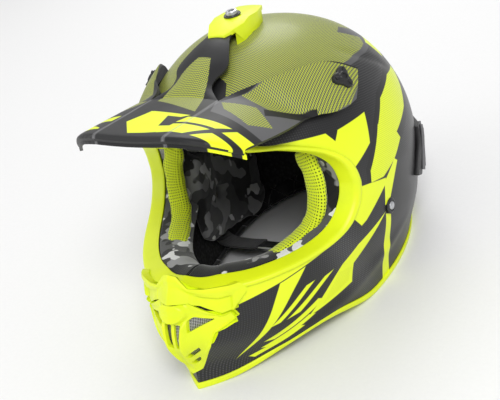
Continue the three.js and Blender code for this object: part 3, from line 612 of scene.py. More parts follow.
# Outlines of the neon bars on the peak, seen from above: (x, y).
peakDecor = {
    "neonBars": [
        [(-21, -172), (-12, -152), (8, -155), (14, -180), (8, -190), (-5, -191)],
        [(8, -178), (30, -176), (40, -186), (8, -190)],
        [(-10, -152), (28, -157), (22, -161), (-6, -158)],
        [(28, -160), (64, -158), (56, -167), (24, -170)],
        [(24, -173), (54, -171), (42, -187), (20, -189)],
        [(68, -158), (88, -158), (84, -170), (62, -168)],
        [(58, -174), (80, -175), (74, -183), (48, -187)],
        [(-36, -160), (-64, -156), (-60, -164), (-38, -170)],
        [(-36, -174), (-62, -168), (-74, -160), (-80, -168), (-58, -182), (-38, -186)],
    ],
}


def peakPaint():
    # The peak's decor: dotted panels with grey borders, neon bars across the front, black lip.
    made = Finish("peakPaint", Specular_IOR_Level=0.35)
    x, y, side = made.x, made.y, made.x.size()
    printed = made.dots(side, y, 3.0, -0.25, 0.25)
    meshed = made.colour(printed, (0.085, 0.085, 0.085), (0.44, 0.5, 0.04))
    greyed = (0.10, 0.10, 0.104)
    panel = made.inside(x, y, [(-30, -130), (27, -150), (24, -136), (13, -108), (9, -96), (-9, -96),
                               (-13, -108)])
    armPanel = made.inside(side, y, [(42, -112), (60, -84), (78, -54), (90, -34), (96, -24), (102, -26),
                                     (103, -52), (92, -88), (66, -112)])
    armFront = made.inside(side, y, [(36, -128), (44, -137), (68, -144), (80, -130), (60, -118)])
    armGrey = made.inside(side, y, [(33, -132), (38, -146), (84, -150), (100, -90), (110, -40),
                                    (104, -16), (92, -20), (76, -50), (57, -82), (37, -104)])
    neonBars = made.anyOf([made.inside(x, y, outline) for outline in peakDecor["neonBars"]])
    carbon = made.dots(side, y, 3.2, 0.2, 0.7)
    tint = made.colour(carbon * (0 - x).rise(30, 34) * 0.25, charcoal, midGrey)
    tint = made.colour(armGrey * x.rise(-30, -28), tint, greyed)
    tint = made.colour(panel.most(armPanel).most(armFront), tint, meshed)
    bar = made.inside(side, y, [(64, -115), (69, -122), (93, -86), (89, -80)])
    tint = made.colour(bar * x.rise(-30, -28), tint, coal)
    tint = made.colour(neonBars, tint, neon)
    # Painted highlight: a thin pale grey line along each ridge at the front of the peak, where light
    # catches the crease.
    ridge = (side - 32.5).size().rise(2.4, 0.2) * (y + 120).rise(0, -10)
    tint = made.colour(ridge * 0.35, tint, paleGrey)
    haze = made.noise(26, 3)
    return made.wear(Base_Color=tint, Roughness=haze * 0.14 + 0.38,
                     Normal=made.bump(made.noise(1.2, 2), 0.05, 0.3))


def airMesh():
    # Spacer fabric: a lattice of small holes between soft knitted ribs.
    made = Finish("airMesh", Sheen_Weight=0.35, Sheen_Roughness=0.4, Specular_IOR_Level=0.2)
    laid = made.node("ShaderNodeAttribute", {"attribute_name": "laid"}).outputs["Vector"]
    parts = made.node("ShaderNodeSeparateXYZ", {}, {0: laid})
    across, up = Amount(made, parts.outputs[0]), Amount(made, parts.outputs[1])
    weave = (across + up).wave(5.4) * (across - up).wave(5.4)
    hole = weave.rise(0.32, 0.72)
    yarn = made.noise(0.5, 2)
    soft = made.colour(yarn, (0.54, 0.66, 0.014), (0.76, 0.88, 0.035))
    tint = made.colour(hole, soft, (0.08, 0.11, 0.006))
    return made.wear(Base_Color=tint, Roughness=yarn * 0.1 + 0.8,
                     Normal=made.bump(0.6 * (1 - hole) + yarn * 0.25, 0.8, 0.7))


def camouflage(name, light=1.0):
    # Printed knit in blocky greys, with a fine rib.
    made = Finish(name, Sheen_Weight=0.3, Sheen_Roughness=0.5, Specular_IOR_Level=0.2)
    shifted = made.node("ShaderNodeMapping", {}, {"Vector": made.head, "Location": (31, 7, 64)})
    first = made.noise(34, 2, 0.45).rise(0.5, 0.515)
    second = made.noise(26, 2, 0.45, shifted.outputs[0]).rise(0.55, 0.565)
    third = made.noise(19, 2, 0.5, shifted.outputs[0]).rise(0.62, 0.635)
    tint = made.colour(first, (0.012, 0.012, 0.013), (0.055 * light, 0.055 * light, 0.057 * light))
    tint = made.colour(second, tint, (0.2 * light, 0.2 * light, 0.205 * light))
    tint = made.colour(third, tint, (0.5 * light, 0.5 * light, 0.51 * light))
    knit = (made.y + made.x * 0.5).wave(1.5) * made.z.wave(1.5)
    fuzz = made.noise(1.1, 3)
    return made.wear(Base_Color=tint, Roughness=fuzz * 0.1 + 0.82,
                     Normal=made.bump(knit * 0.4 + fuzz * 0.6, 0.25, 0.6))


def blackKnit():
    made = Finish("blackKnit", Sheen_Weight=0.35, Sheen_Roughness=0.45, Specular_IOR_Level=0.2)
    cloud = made.noise(30, 3)
    quilt = made.x.wave(30).size().least((made.y * 0.8 + made.z * 0.6).wave(34).size())
    knit = (made.y + made.x).wave(1.6) * (made.z - made.x).wave(1.6)
    tint = made.colour(cloud.rise(0.4, 0.7), (0.008, 0.008, 0.0085), (0.022, 0.022, 0.023))
    height = made.bump(quilt.rise(0, 0.25), 1.6, 0.8)
    return made.wear(Base_Color=tint, Roughness=cloud * 0.1 + 0.8,
                     Normal=made.bump(knit, 0.2, 0.5, height))


def beadFoam():
    made = Finish("beadFoam", Specular_IOR_Level=0.3)
    bead = made.cells(3.4)
    tint = made.colour(bead.rise(0.1, 0.7), (0.025, 0.025, 0.026), (0.008, 0.008, 0.008))
    return made.wear(Base_Color=tint, Roughness=bead * 0.1 + 0.7, Normal=made.bump(-bead, 0.5, 0.8))


def webbing():
    made = Finish("webbing", Sheen_Weight=0.2, Specular_IOR_Level=0.3)
    rib = (made.x + made.z * 0.7).wave(2.2)
    weft = made.y.wave(1.3) * rib
    tint = made.colour(weft.rise(-0.6, 0.8), (0.007, 0.007, 0.008), (0.032, 0.032, 0.034))
    return made.wear(Base_Color=tint, Roughness=weft * 0.05 + 0.7,
                     Normal=made.bump(weft + rib * 0.6, 0.25, 0.8))


def wireMesh():
    made = Finish("wireMesh", Metallic=0.6)
    hole = made.dots(made.x, made.z, 2.4, -0.05, 0.12)
    tint = made.colour(hole, (0.6, 0.6, 0.61), (0.004, 0.004, 0.004))
    return made.wear(Base_Color=tint, Roughness=hole * 0.3 + 0.4, Normal=made.bump(1 - hole, 0.5, 0.8))


finishes = {
    "shell": shellPaint(), "peak": peakPaint(), "neon": neonMoulding("neonMoulding"),
    "black": plainPlastic("blackPlastic", (0.012, 0.012, 0.013), 0.48),
    "grey": plainPlastic("greyPlastic", (0.12, 0.12, 0.125), 0.42),
    "rubber": plainPlastic("softRubber", (0.008, 0.008, 0.008), 0.7, 0.5),
    "steel": brushedMetal("brushedSteel", (0.62, 0.63, 0.65), 0.32),
    "darkSteel": brushedMetal("blackenedSteel", (0.09, 0.09, 0.095), 0.4),
    "camo": camouflage("camouflageKnit"), "paleCamo": camouflage("paleCamouflageKnit", 1.5),
    "airMesh": airMesh(), "knit": blackKnit(), "foam": beadFoam(), "webbing": webbing(),
    "wire": wireMesh(),
}
print("finishes made")


# ---- shell and its edges

def portPlaces():
    # The eyeport's outline on a chart of (turn x scale, height), by angle about its middle.
    half = np.array([(np.radians(t) * eyeport["scale"], z - eyeport["middle"])
                     for t, z in eyeport["half"]])
    angle, reach = np.arctan2(half[:, 1], half[:, 0]), np.hypot(half[:, 0], half[:, 1])
    both = np.concatenate([np.pi - angle[::-1][:-1], angle[::-1] + 2 * np.pi])[:-1]
    spans = np.concatenate([reach[::-1][:-1], reach[::-1]])[:-1]
    order = np.argsort(both % (2 * np.pi))
    both, spans = (both % (2 * np.pi))[order], spans[order]
    both, first = np.unique(both.round(6), return_index=True)
    spans = spans[first]
    wide = np.concatenate([both - 2 * np.pi, both, both + 2 * np.pi])
    inverse = curveThrough(np.column_stack([wide, np.tile(1 / spans, 3)]))
    return lambda at: 1 / inverse(at % (2 * np.pi))


portReach = portPlaces()


def portPoint(angle, inset=0.0, off=0.0):
    # The eyeport's edge, drawn in by inset towards its middle and moved out by off.
    reach = portReach(angle)
    turn, rise = reach * np.cos(angle) / eyeport["scale"], reach * np.sin(angle)
    across = np.linalg.norm(shellPoint(turn, eyeport["middle"] + rise)
                            - shellPoint(0, eyeport["middle"]), axis=-1)
    keep = 1 - inset / across
    return shellPoint(turn * keep, eyeport["middle"] + rise * keep, off)


def portShare(turn, z):
    # How far a place on the shell is from the eyeport's middle: 1 on its edge.
    across, up = turn * eyeport["scale"], z - eyeport["middle"]
    angle = np.arctan2(up, across)
    reach = portReach(angle)
    return np.hypot(across, up) / reach, angle, reach


def makeShell():
    columns, sideRows, crownRows = shell["columns"], shell["sideRows"], shell["crownRows"]
    turn = np.linspace(-np.pi, np.pi, columns, endpoint=False)
    low = rimPoint(turn, 0, rim["height"] - 1)[:, 2]
    k = np.linspace(0, 1, sideRows)[:, None]
    side = low + (shell["crownLevel"] - low) * k
    phi = np.linspace(0, np.pi / 2, crownRows + 1)[1:, None]
    top = shell["crownLevel"] + shell["crownRise"] * np.sin(phi) + 0 * turn
    z = np.vstack([side, top])
    turn = turn + 0 * z
    share, angle, reach = portShare(turn, z)
    near = (np.abs(share - 1) * reach < 1.5) & (np.abs(turn) < 1.5)
    turn = np.where(near, reach * np.cos(angle) / eyeport["scale"], turn)
    z = np.where(near, eyeport["middle"] + reach * np.sin(angle), z)
    off = 0 * z
    # a shallow groove over the ear and a soft swage along the jaw
    spots = shellPoint(turn, z)
    y, flank = spots[..., 1], smoothStep(np.abs(spots[..., 0]), 30, 60)
    along = (y - 3) * 0.924 - (z - 228) * 0.383
    fromGroove = (y - 3) * 0.383 + (z - 228) * 0.924
    off -= (1.6 * np.exp(-(fromGroove / 3.2) ** 2)
            * smoothStep(along, -30, -10) * smoothStep(along, 52, 30) * flank)
    jaw = (z - 44) - 0.42 * (y + 60)
    off += 1.5 * np.exp(-(jaw / 7) ** 2) * smoothStep(y, -150, -110) * smoothStep(y, 40, -10) * flank
    points = shellPoint(turn, z, off)
    middleTurn = (turn + np.roll(turn, -1, 1))[:-1] / 2
    middleTurn = np.where(np.abs(turn - np.roll(turn, -1, 1))[:-1] > 3, np.pi, middleTurn)
    middleZ = (z[:-1] + z[1:]) / 2
    inPort = (portShare(middleTurn, middleZ)[0] < 1) & (np.abs(middleTurn) < 1.5)
    spot = shellPoint(middleTurn, middleZ)
    inVent = (np.abs(spot[..., 0]) < 0.62 * (middleZ - 14)) & (middleZ < 62) & (spot[..., 1] < -90)
    piece = gridMesh("outerShell", points, loopColumns=True, keep=~(inPort | inVent))
    mergeLoose(piece, 4e-5)
    thicken(piece, shell["wall"])
    return place(piece, finishes["shell"], "helmet", "shell", "outer_shell", sharp=60)


def makeTrims():
    rimSection = rounded([(rim["proud"], 0), (rim["proud"], rim["height"]), (-rim["inside"], rim["height"]),
                          (-rim["inside"], 0)], 1.3)
    turn = np.linspace(-np.pi, np.pi, 360, endpoint=False)[:, None]
    edge = rimPoint(turn, rimSection[:, 0], rimSection[:, 1])
    piece = mergeLoose(gridMesh("rimTrim", edge, loopRows=True, loopColumns=True), outward=True)
    place(piece, finishes["neon"], "helmet", "yellow_trim", "rim_trim")
    lipSection = rounded([(-4.4, 1.0), (0.4, 0.6), (0.4, -11.5), (7.6, -12.2), (7.4, -10.6),
                          (2.6, 0.6), (0.4, 3.0), (-2.6, 3.0)], 1.1)
    angle = np.linspace(0, 2 * np.pi, 420, endpoint=False)[:, None]
    edge = portPoint(angle, lipSection[:, 0], lipSection[:, 1])
    piece = mergeLoose(gridMesh("eyeportTrim", edge, loopRows=True, loopColumns=True), outward=True)
    place(piece, finishes["neon"], "helmet", "yellow_trim", "eyeport_trim")


makeShell()
makeTrims()
print("shell and trims made")


# ---- chin

chin = {
    "guardTop": [(0, 99), (6, 97.5), (15, 88), (26, 87), (48, 88), (51, 82)],
    "guardLow": [(0, 76.6), (15, 76.6), (35.5, 65), (41, 66.6), (44, 67.4), (51, 80)],
    "coverTop": [(0, 76), (14, 76), (35, 63.5), (41, 65), (43, 60.5)],
    "coverLow": [(0, 8), (9, 13), (25, 38), (30, 50), (43, 59)],
    "windows": [[(12, 52), (12, 62), (17, 65), (31, 61.5), (17, 55)],
                [(1.4, 38), (1.4, 59), (7.6, 59), (5.4, 40)],
                [(6, 31), (17, 38.5), (17, 35), (7, 27.5)],
                [(5, 22), (13, 27.5), (12, 23.5), (6, 19)]],
}


def frontPatch(name, low, high, reach, offAt, columns, rows, power=1.0):
    # A patch of the shell's front between two edges given by distance from the middle: a point is
    # low + (high - low) k at each x, moved out by offAt.
    x = np.linspace(-reach, reach, columns)[None, :]
    size = np.abs(x)
    bottom = np.interp(size, *np.array(low, float).T)
    top = np.interp(size, *np.array(high, float).T)
    k = np.linspace(0, 1, rows)[:, None] ** power
    z = bottom + (top - bottom) * k
    x = x + 0 * z
    off = offAt(x, z, k + 0 * x)
    return mergeLoose(gridMesh(name, shellPoint(frontTurn(x, z, off), z, off)), 1e-5)


def guardRelief(x, z, k):
    # Proud at the top edge and along a centre ridge, with a pocket each side.
    size = np.abs(x)
    ridge = 4.6 * np.clip(1 - size / 15, 0, 1)
    lip = 2.8 * smoothStep(k, 0.55, 0.9) * smoothStep(size, 51, 42)
    pocket = 3.4 * smoothStep(size, 17, 22) * smoothStep(size, 45, 40) * smoothStep(k, 0.62, 0.5)
    return 6.6 + ridge + lip - pocket - 2.5 * smoothStep(size, 44, 51)


def coverRelief(x, z, k):
    # A rounded pad at the top, two ribs that run down to the tip, and a raised rim.
    size = np.abs(x)
    pad = 5.0 * smoothStep(1 - (x / 15) ** 2 - ((z - 69) / 9.5) ** 2, 0, 0.45)
    rib = 3.4 * np.exp(-((size - 3 - 0.14 * (z - 12)) / 2.1) ** 2) * smoothStep(z, 12, 24)
    trough = 1.4 * np.exp(-(x / 2.6) ** 2) * smoothStep(z, 62, 56)
    edge = 1.6 * smoothStep(np.minimum(k, 1 - k), 0.16, 0.02)
    return 3.6 + pad + rib * smoothStep(z, 64, 56) - trough + edge - 1.2 * smoothStep(size, 24, 40)


def makeChin():
    guard = frontPatch("noseGuard", chin["guardLow"], chin["guardTop"], 51, guardRelief, 120, 44)
    thicken(guard, 6.0)
    place(guard, finishes["neon"], "helmet", "yellow_trim", "nose_guard", sharp=40)
    cover = frontPatch("ventCover", chin["coverLow"], chin["coverTop"], 43, coverRelief, 130, 110)
    thicken(cover, 3.2)
    shapes = [[(x * side, z) for x, z in shape] for shape in chin["windows"] for side in (1, -1)]
    cutters = [prism(f"window{i}", rounded(shape, 1.2), -230, -100) for i, shape in enumerate(shapes)]
    cutAway(cover, joinPieces("windows", cutters))
    place(cover, finishes["neon"], "helmet", "yellow_trim", "chin_vent_cover", sharp=40)
    backing = frontPatch("ventMesh", [(0, 14), (9, 20), (22, 42), (33, 56)], [(0, 70), (10, 70), (33, 58)],
                         33, lambda x, z, k: 0.1 + 0 * x, 60, 50)
    thicken(backing, 0.8)
    place(backing, finishes["wire"], "helmet", "vent_mesh", "chin_vent_mesh")


makeChin()
print("chin made")


# ---- peak

peak = {
    "thickness": 2.6, "standoff": 7, "reach": 67, "halfWidth": 78, "ridge": 32.5, "rootPhi": 37.5,
    "rootAhead": 13, "drop": 7, "cornerBack": 28, "cornerDrop": 16, "bulge": 4,
    "spine": [(23, 49.4, 6), (17, 57, 3.5), (11, 64, 1), (11, 74, 0.5), (11, 80, 0.5)],
    "neck": [(0.33, 20, 5), (0.62, 18.1, 6)],
    "rise": [-1, 0, 1, 3],
    "armInner": [(24, 39.7), (40, 43.2), (60, 45), (70, 43.2), (79, 38.6)],
    "armOuter": [(49, 26.3), (54, 26.8), (59, 26.4), (65, 26.6), (71, 28.2)],
    "lip": [(0.4, -2.0), (0.4, -6.0)],
}


def crownAt(x, phi, off):
    # The crown point x from the middle on the arc that rises by phi in front.
    z = shell["crownLevel"] + (shell["crownRise"] + off) * np.sin(phi)
    width = (shell["halfWidth"] + off) * np.cos(phi) ** shell["domePower"]
    share = min(1, abs(x) / width) ** (float(frontPowerAt(z)) / 2)
    return shellPoint(np.sign(x) * np.arcsin(share), z, off)


def makePeak():
    # Smooth sheets through rows of points: the centre panel, the neck and spine behind it, and two
    # wings whose arms lie on the crown.
    root = crownAt(peak["ridge"], np.radians(peak["rootPhi"]), peak["standoff"])
    root = root + [0, -peak["rootAhead"], 0]
    shares = [1, 0.66, 0.33, 0]
    ridge = [root + [0, -peak["reach"] * k, -peak["drop"] * k] for k in shares]
    spine = [crownAt(x, np.radians(phi), peak["standoff"]) for x, phi, _ in peak["spine"]]
    neck = [ridge[3] + (spine[0] - ridge[3]) * k for k, _, _ in peak["neck"]]
    for point, (_, x, _) in zip(neck, peak["neck"]):
        point[0] = x
    edges = [*ridge, *neck, *spine]
    rises = [*peak["rise"], *(r for _, _, r in peak["neck"]), *(r for _, _, r in peak["spine"])]
    across = np.linspace(-1, 1, 9)
    centre = [np.column_stack([e[0] * across, np.full(9, e[1]), e[2] + rise * (1 - across**2)])
              for e, rise in zip(edges, rises)]
    centre = [centre[0] + [0, forward, down] for forward, down in peak["lip"][::-1]] + centre
    blade = refine(np.array(centre[:6]), 46)
    rear = refine(np.array(centre[5:]), 70)
    sheets = [refine(rows, 61, 1) for rows in (blade, rear)]
    panel = [gridMesh(f"panel{i}", sheet, flip=True) for i, sheet in enumerate(sheets)]
    innerTurn, innerPhi = np.radians(np.array(peak["armInner"], float)).T
    outerTurn, outerPhi = np.radians(np.array(peak["armOuter"], float)).T
    armStart = crownPoint(outerTurn[0], outerPhi[0], peak["standoff"])
    corner = ridge[0] * [0, 1, 1] + [peak["halfWidth"], peak["cornerBack"], -peak["cornerDrop"]]
    k = np.linspace(0, 1, 9)[:, None]
    rows = []
    for inner, share in zip(ridge, shares):
        outer = corner + (armStart - corner) * (1 - share) * 0.72
        outer = outer + [3 * np.sin(np.pi * (1 - share) * 0.72), 0, 0]
        bulge = np.sin(np.pi * k) * peak["bulge"]
        rows.append(inner + (outer - inner) * k + bulge * [0, -1.5 * share, 1])
    for i in range(len(innerTurn)):
        turns = innerTurn[i] + (outerTurn[i] - innerTurn[i]) * k[:, 0]
        phis = innerPhi[i] + (outerPhi[i] - innerPhi[i]) * k[:, 0]
        rows.append(crownPoint(turns, phis, peak["standoff"]))
    rows = [rows[0] + [0, forward, down] for forward, down in peak["lip"][::-1]] + rows
    wing = refine(refine(np.array(rows), 150), 56, 1)
    for side in (1, -1):
        panel.append(gridMesh(f"wing{side}", wing * [side, 1, 1], flip=side > 0))
    piece = mergeLoose(joinPieces("peakShell", panel), 2e-5)
    thicken(piece, peak["thickness"])
    return piece


def paintUnder(piece, finish):
    # The faces that look down are left unpainted.
    piece.data.materials.append(finish)
    ways = np.empty(len(piece.data.polygons) * 3)
    piece.data.polygons.foreach_get("normal", ways)
    under = (ways.reshape(-1, 3)[:, 2] < -0.15).astype(np.int32)
    piece.data.polygons.foreach_set("material_index", under)


peakPiece = makePeak()
place(peakPiece, finishes["peak"], "peak", "peak", "peak", sharp=28)
paintUnder(peakPiece, finishes["black"])
print("peak made")


# ---- peak fasteners, scoop, vents and spoiler

fasteners = {
    "turn": 68, "phi": 37, "knobRadius": 9.5, "knobThickness": 6.5, "screwPhi": 74, "roof": 13.8,
    "headRadius": 5, "headHeight": 3, "rivetTurn": 84, "rivetLevel": 105, "rivetWasher": 7,
    "rivetHead": 3.7,
}


def pivotPlace():
    # The knob's spot on the crown, and the way the crown faces there.
    turn, phi = np.radians(fasteners["turn"]), np.radians(fasteners["phi"])
    spot = crownPoint(turn, phi)
    across = crownPoint(turn + 0.01, phi) - crownPoint(turn - 0.01, phi)
    up = crownPoint(turn, phi + 0.01) - crownPoint(turn, phi - 0.01)
    normal = unit(np.cross(across, up))
    return spot, normal * np.sign(np.dot(normal, [1, 0, 1]))


def threeLobes(angle, radius):
    # Deep lobes where the radius is near the knob's, fading out towards the middle.
    size = smoothStep(radius, 2, 7)
    return 1 + size * (0.2 * np.cos(3 * angle) - 0.14)


def makeKnobs():
    spot, normal = pivotPlace()
    radius, thick, seat = fasteners["knobRadius"], fasteners["knobThickness"], peak["standoff"] + 1
    profile = [(0, 0), (radius - 0.6, 0), (radius, 0.7), (radius, 3.2), (radius - 0.6, 4.2),
               (radius - 2.2, 4.9), (5.4, 5.1), (4.6, 5.4), (4.2, thick - 0.5), (3.6, thick),
               (2.4, thick), (2.0, thick - 0.9), (0, thick - 0.9)]
    for side, word in ((1, "left"), (-1, "right")):
        centre, axis = mirrorSides(spot + normal * seat, side), mirrorSides(normal, side)
        knob = turned(f"knob_{word}", centre, axis, profile, 96, threeLobes)
        up = unit(np.cross(axis, [0, 0, 1]))
        other = np.cross(axis, up)
        bars = []
        for k in range(3):
            a = 2 * np.pi * k / 3
            way = np.cos(a) * up + np.sin(a) * other
            path = centre + way * np.linspace(3.6, 8.4, 8)[:, None] + axis * 5.0
            bars.append(ribbon(f"rib{k}", path, 2.2, 2.0, np.cross(axis, way)[None, :]))
        knob = joinPieces(f"knob_{word}", [knob, *bars])
        body = f"knob_{word}"
        place(knob, finishes["black"], body, "black_plastic", f"peak_knob_{word}")


def makeRivets():
    turn = np.radians(fasteners["rivetTurn"])
    spot = shellPoint(turn, fasteners["rivetLevel"])
    washer, head = fasteners["rivetWasher"], fasteners["rivetHead"]
    for side, word in ((1, "left"), (-1, "right")):
        centre, axis = mirrorSides(spot, side), (side, 0, 0)
        ring = [(0, -0.6), (washer - 0.5, -0.6), (washer, 0), (washer - 0.1, 0.9), (washer - 0.9, 1.6),
                (washer - 2.0, 1.8), (head + 0.5, 1.3), (head, 0.8), (0, 0.8)]
        place(turned(f"rivetWasher_{word}", centre, axis, ring, 64), finishes["darkSteel"],
              "helmet", "dark_steel", f"rivet_washer_{word}")
        dome = [(0, -24), (3, -24), (3, 0.9), (head - 0.3, 0.9), (head, 1.2), (head - 0.6, 2.2),
                (head - 1.6, 2.7), (0, 2.9)]
        place(turned(f"strapRivet_{word}", centre, axis, dome, 48), finishes["steel"],
              "helmet", "steel", f"strap_rivet_{word}")


def makeTopScrew():
    phi = np.radians(fasteners["screwPhi"])
    spot = crownAt(0, phi, 0)
    axis = unit(np.array([0, -np.cos(phi) * 0.92, np.sin(phi)]))
    seat, radius, high = fasteners["roof"] + 1, fasteners["headRadius"], fasteners["headHeight"]
    head = turned("topScrewHead", spot + axis * seat, axis,
                  [(0, 0), (radius, 0), (radius, high - 0.9), (radius - 0.3, high - 0.3),
                   (radius - 0.9, high), (3.0, high), (2.6, high - 0.3), (2.5, high - 1.7),
                   (0, high - 1.9)], 64)
    washer = turned("topWasher", spot + axis * (seat - 1), axis,
                    [(3.2, 0), (7.2, 0), (7.2, 0.6), (6.9, 0.9), (3.2, 0.9), (3.2, 0)], 64)
    shank = turned("topShank", spot - axis * 9, axis,
                   [(0, 0), (2.2, 0), (2.8, 0.6), (2.8, 24), (0, 24)], 32)
    place(joinPieces("topScrew", [head, shank]), finishes["steel"], "top_screw", "steel", "top_screw")
    place(washer, finishes["darkSteel"], "helmet", "dark_steel")


def bevelledCopy(node, finish, body, slotName, width=0.5, sharp=35):
    piece = soften(copyNode(node), width)
    return place(piece, finishes[finish], body, slotName, node, sharp=sharp)


def makeHardware():
    bevelledCopy("top_scoop", "neon", "helmet", "yellow_trim", 0.8)
    for word in ("left", "right"):
        bevelledCopy(f"brow_vent_{word}", "black", "helmet", "black_plastic", 0.7)
        bevelledCopy(f"rear_vent_{word}", "black", "helmet", "black_plastic", 1.0)
        bevelledCopy(f"peak_washer_{word}", "rubber", "helmet", "rubber", 0.4)
        bevelledCopy(f"peak_insert_{word}", "darkSteel", "helmet", "dark_steel", 0.4)
        bevelledCopy(f"strap_plate_{word}", "darkSteel", "helmet", "dark_steel", 0.3)
        for i in (1, 2, 3):
            bevelledCopy(f"pad_stud_{i}_{word}", "black", "helmet", "black_plastic", 0.3)
    bevelledCopy("rear_spoiler", "grey", "helmet", "grey_plastic", 1.4)
    bevelledCopy("top_insert", "darkSteel", "helmet", "dark_steel", 0.4)
    bevelledCopy("buckle_body", "black", "helmet", "black_plastic", 0.5)
    bevelledCopy("buckle_lever", "neon", "buckle_lever", "yellow_trim", 0.4)
    bevelledCopy("buckle_pin", "steel", "helmet", "steel", 0.3)
    bevelledCopy("buckle_blade", "steel", "helmet", "steel", 0.3)
    for node in ("crown_foam", "chin_foam", "cheek_foam_left", "cheek_foam_right"):
        bevelledCopy(node, "foam", "helmet", "foam", 1.2)


louvres = {"spoilerLevels": [172, 185, 198], "spoilerReach": 38, "proud": 7.4,
           "ventFrom": [58, 68, 78], "ventLean": 14, "ventLevels": [112, 146], "ventProud": 5.8}


def makeLouvres():
    # Blades across the spoiler, and slanted ones on each rear vent, lying along the shell.
    x = np.linspace(-1, 1, 60) * louvres["spoilerReach"]
    off = louvres["proud"]
    for i, level in enumerate(louvres["spoilerLevels"]):
        bow = level + 5 * (x / louvres["spoilerReach"]) ** 2
        path = shellPoint(rearTurn(x, bow, off), bow, off)
        up = shellPoint(rearTurn(x, bow + 3, off), bow + 3, off) - path
        blade = ribbon(f"spoilerBlade_{i}", path, 8, 2.4, up, 0.6)
        place(blade, finishes["black"], "helmet", "black_plastic", sharp=50)
    z = np.linspace(*louvres["ventLevels"], 30)
    off = louvres["ventProud"]
    for i, start in enumerate(louvres["ventFrom"]):
        y = start + louvres["ventLean"] * (z - z[0]) / (z[-1] - z[0])
        path = shellPoint(sideTurn(y, z, off), z, off)
        across = shellPoint(sideTurn(y + 2, z, off), z, off) - path
        for side, word in ((1, "left"), (-1, "right")):
            blade = ribbon(f"ventBlade_{i}_{word}", mirrorSides(path, side), 6, 2.2,
                           mirrorSides(across, side), 0.5)
            place(blade, finishes["grey"], "helmet", "grey_plastic", sharp=50)


makeKnobs()
makeRivets()
makeLouvres()
makeTopScrew()
makeHardware()
print("hardware made")


# ---- padding

pads = {
    "voxel": 0.0042, "pressure": 4.0, "frames": 20, "fill": 0.92, "most": 2.2,
    "looks": {"brow_pad": "knit", "comfort_liner": "knit", "neck_roll": "knit",
              "cheek_pad_left": "camo", "cheek_pad_right": "camo",
              "temple_pad_left": "airMesh", "temple_pad_right": "airMesh"},
}


def layAlong(piece, path, radius):
    # Stores for each vertex how far along a path it lies, and how far round it, both in mm.
    spots = np.empty(len(piece.data.vertices) * 3)
    piece.data.vertices.foreach_get("co", spots)
    spots = fromRow(spots.reshape(-1, 3))
    nearest = np.argmin(np.linalg.norm(spots[:, None] - path[None], axis=-1), axis=1)
    gone = np.concatenate([[0], np.cumsum(np.linalg.norm(np.diff(path, axis=0), axis=1))])
    ahead = unit(np.gradient(path, axis=0))[nearest]
    away = spots - path[nearest]
    along = gone[nearest] + np.sum(away * ahead, -1)
    side = unit(np.cross(ahead, [0, 1, 0]))
    around = np.arctan2(np.sum(away * side, -1), np.sum(away * np.cross(ahead, side), -1)) * radius
    laid = piece.data.attributes.new("laid", "FLOAT_VECTOR", "POINT")
    laid.data.foreach_set("vector", np.column_stack([along, around, 0 * along]).ravel())
    return piece


def templePath(side):
    # The strip beside the eyeport: down the temple, then forward under the cheek.
    places = np.array([(64, 168), (70, 152), (73, 134), (71, 118), (66, 104), (57, 95), (47, 88)], float)
    depth = -64 - np.array([6, 4, 3, 4, 9, 27, 47.0])
    path = np.column_stack([places[:, 0], depth, places[:, 1]])
    return mirrorSides(refine(path, 160), side)


def puffed(piece, most):
    # A few frames of cloth under pressure, with its travel capped at most mm.
    start = np.empty(len(piece.data.vertices) * 3)
    piece.data.vertices.foreach_get("co", start)
    start = start.reshape(-1, 3)
    cloth = piece.modifiers.new("cloth", "CLOTH")
    settings = cloth.settings
    settings.quality, settings.mass = 4, 0.3
    settings.tension_stiffness = settings.compression_stiffness = 40
    settings.bending_stiffness = 2.0
    settings.use_pressure, settings.uniform_pressure_force = True, pads["pressure"]
    settings.effector_weights.gravity = 0
    cloth.collision_settings.use_collision = False
    cloth.point_cache.frame_end = pads["frames"]
    for number in range(1, pads["frames"] + 1):
        scene.frame_set(number)
    shown = piece.evaluated_get(bpy.context.evaluated_depsgraph_get())
    ended = np.empty(len(start) * 3)
    shown.data.vertices.foreach_get("co", ended)
    piece.modifiers.clear()
    travel = ended.reshape(-1, 3) - start
    length = np.linalg.norm(travel, axis=1, keepdims=True)
    travel *= np.minimum(1, most / 1000 / np.maximum(length, 1e-9))
    piece.data.vertices.foreach_set("co", (start + travel).ravel())
    piece.data.update()
    scene.frame_set(1)
    return piece


def softPad(node, finish):
    # A cushion in the place of a plain solid: remeshed evenly, blown up a little, smoothed.
    piece = copyNode(node)
    skin = piece.modifiers.new("skin", "REMESH")
    skin.mode, skin.voxel_size = "VOXEL", pads["voxel"]
    settle(piece)
    even = piece.modifiers.new("even", "SMOOTH")
    even.factor, even.iterations = 0.5, 3
    settle(piece)
    puffed(piece, pads["most"])
    subdivide(piece)
    if finish == "airMesh":
        layAlong(piece, templePath(1 if "left" in node else -1), 9)
    place(piece, finishes[finish], "helmet", "mesh_fabric" if finish == "airMesh" else "liner_fabric",
          node, sharp=180)
    return piece


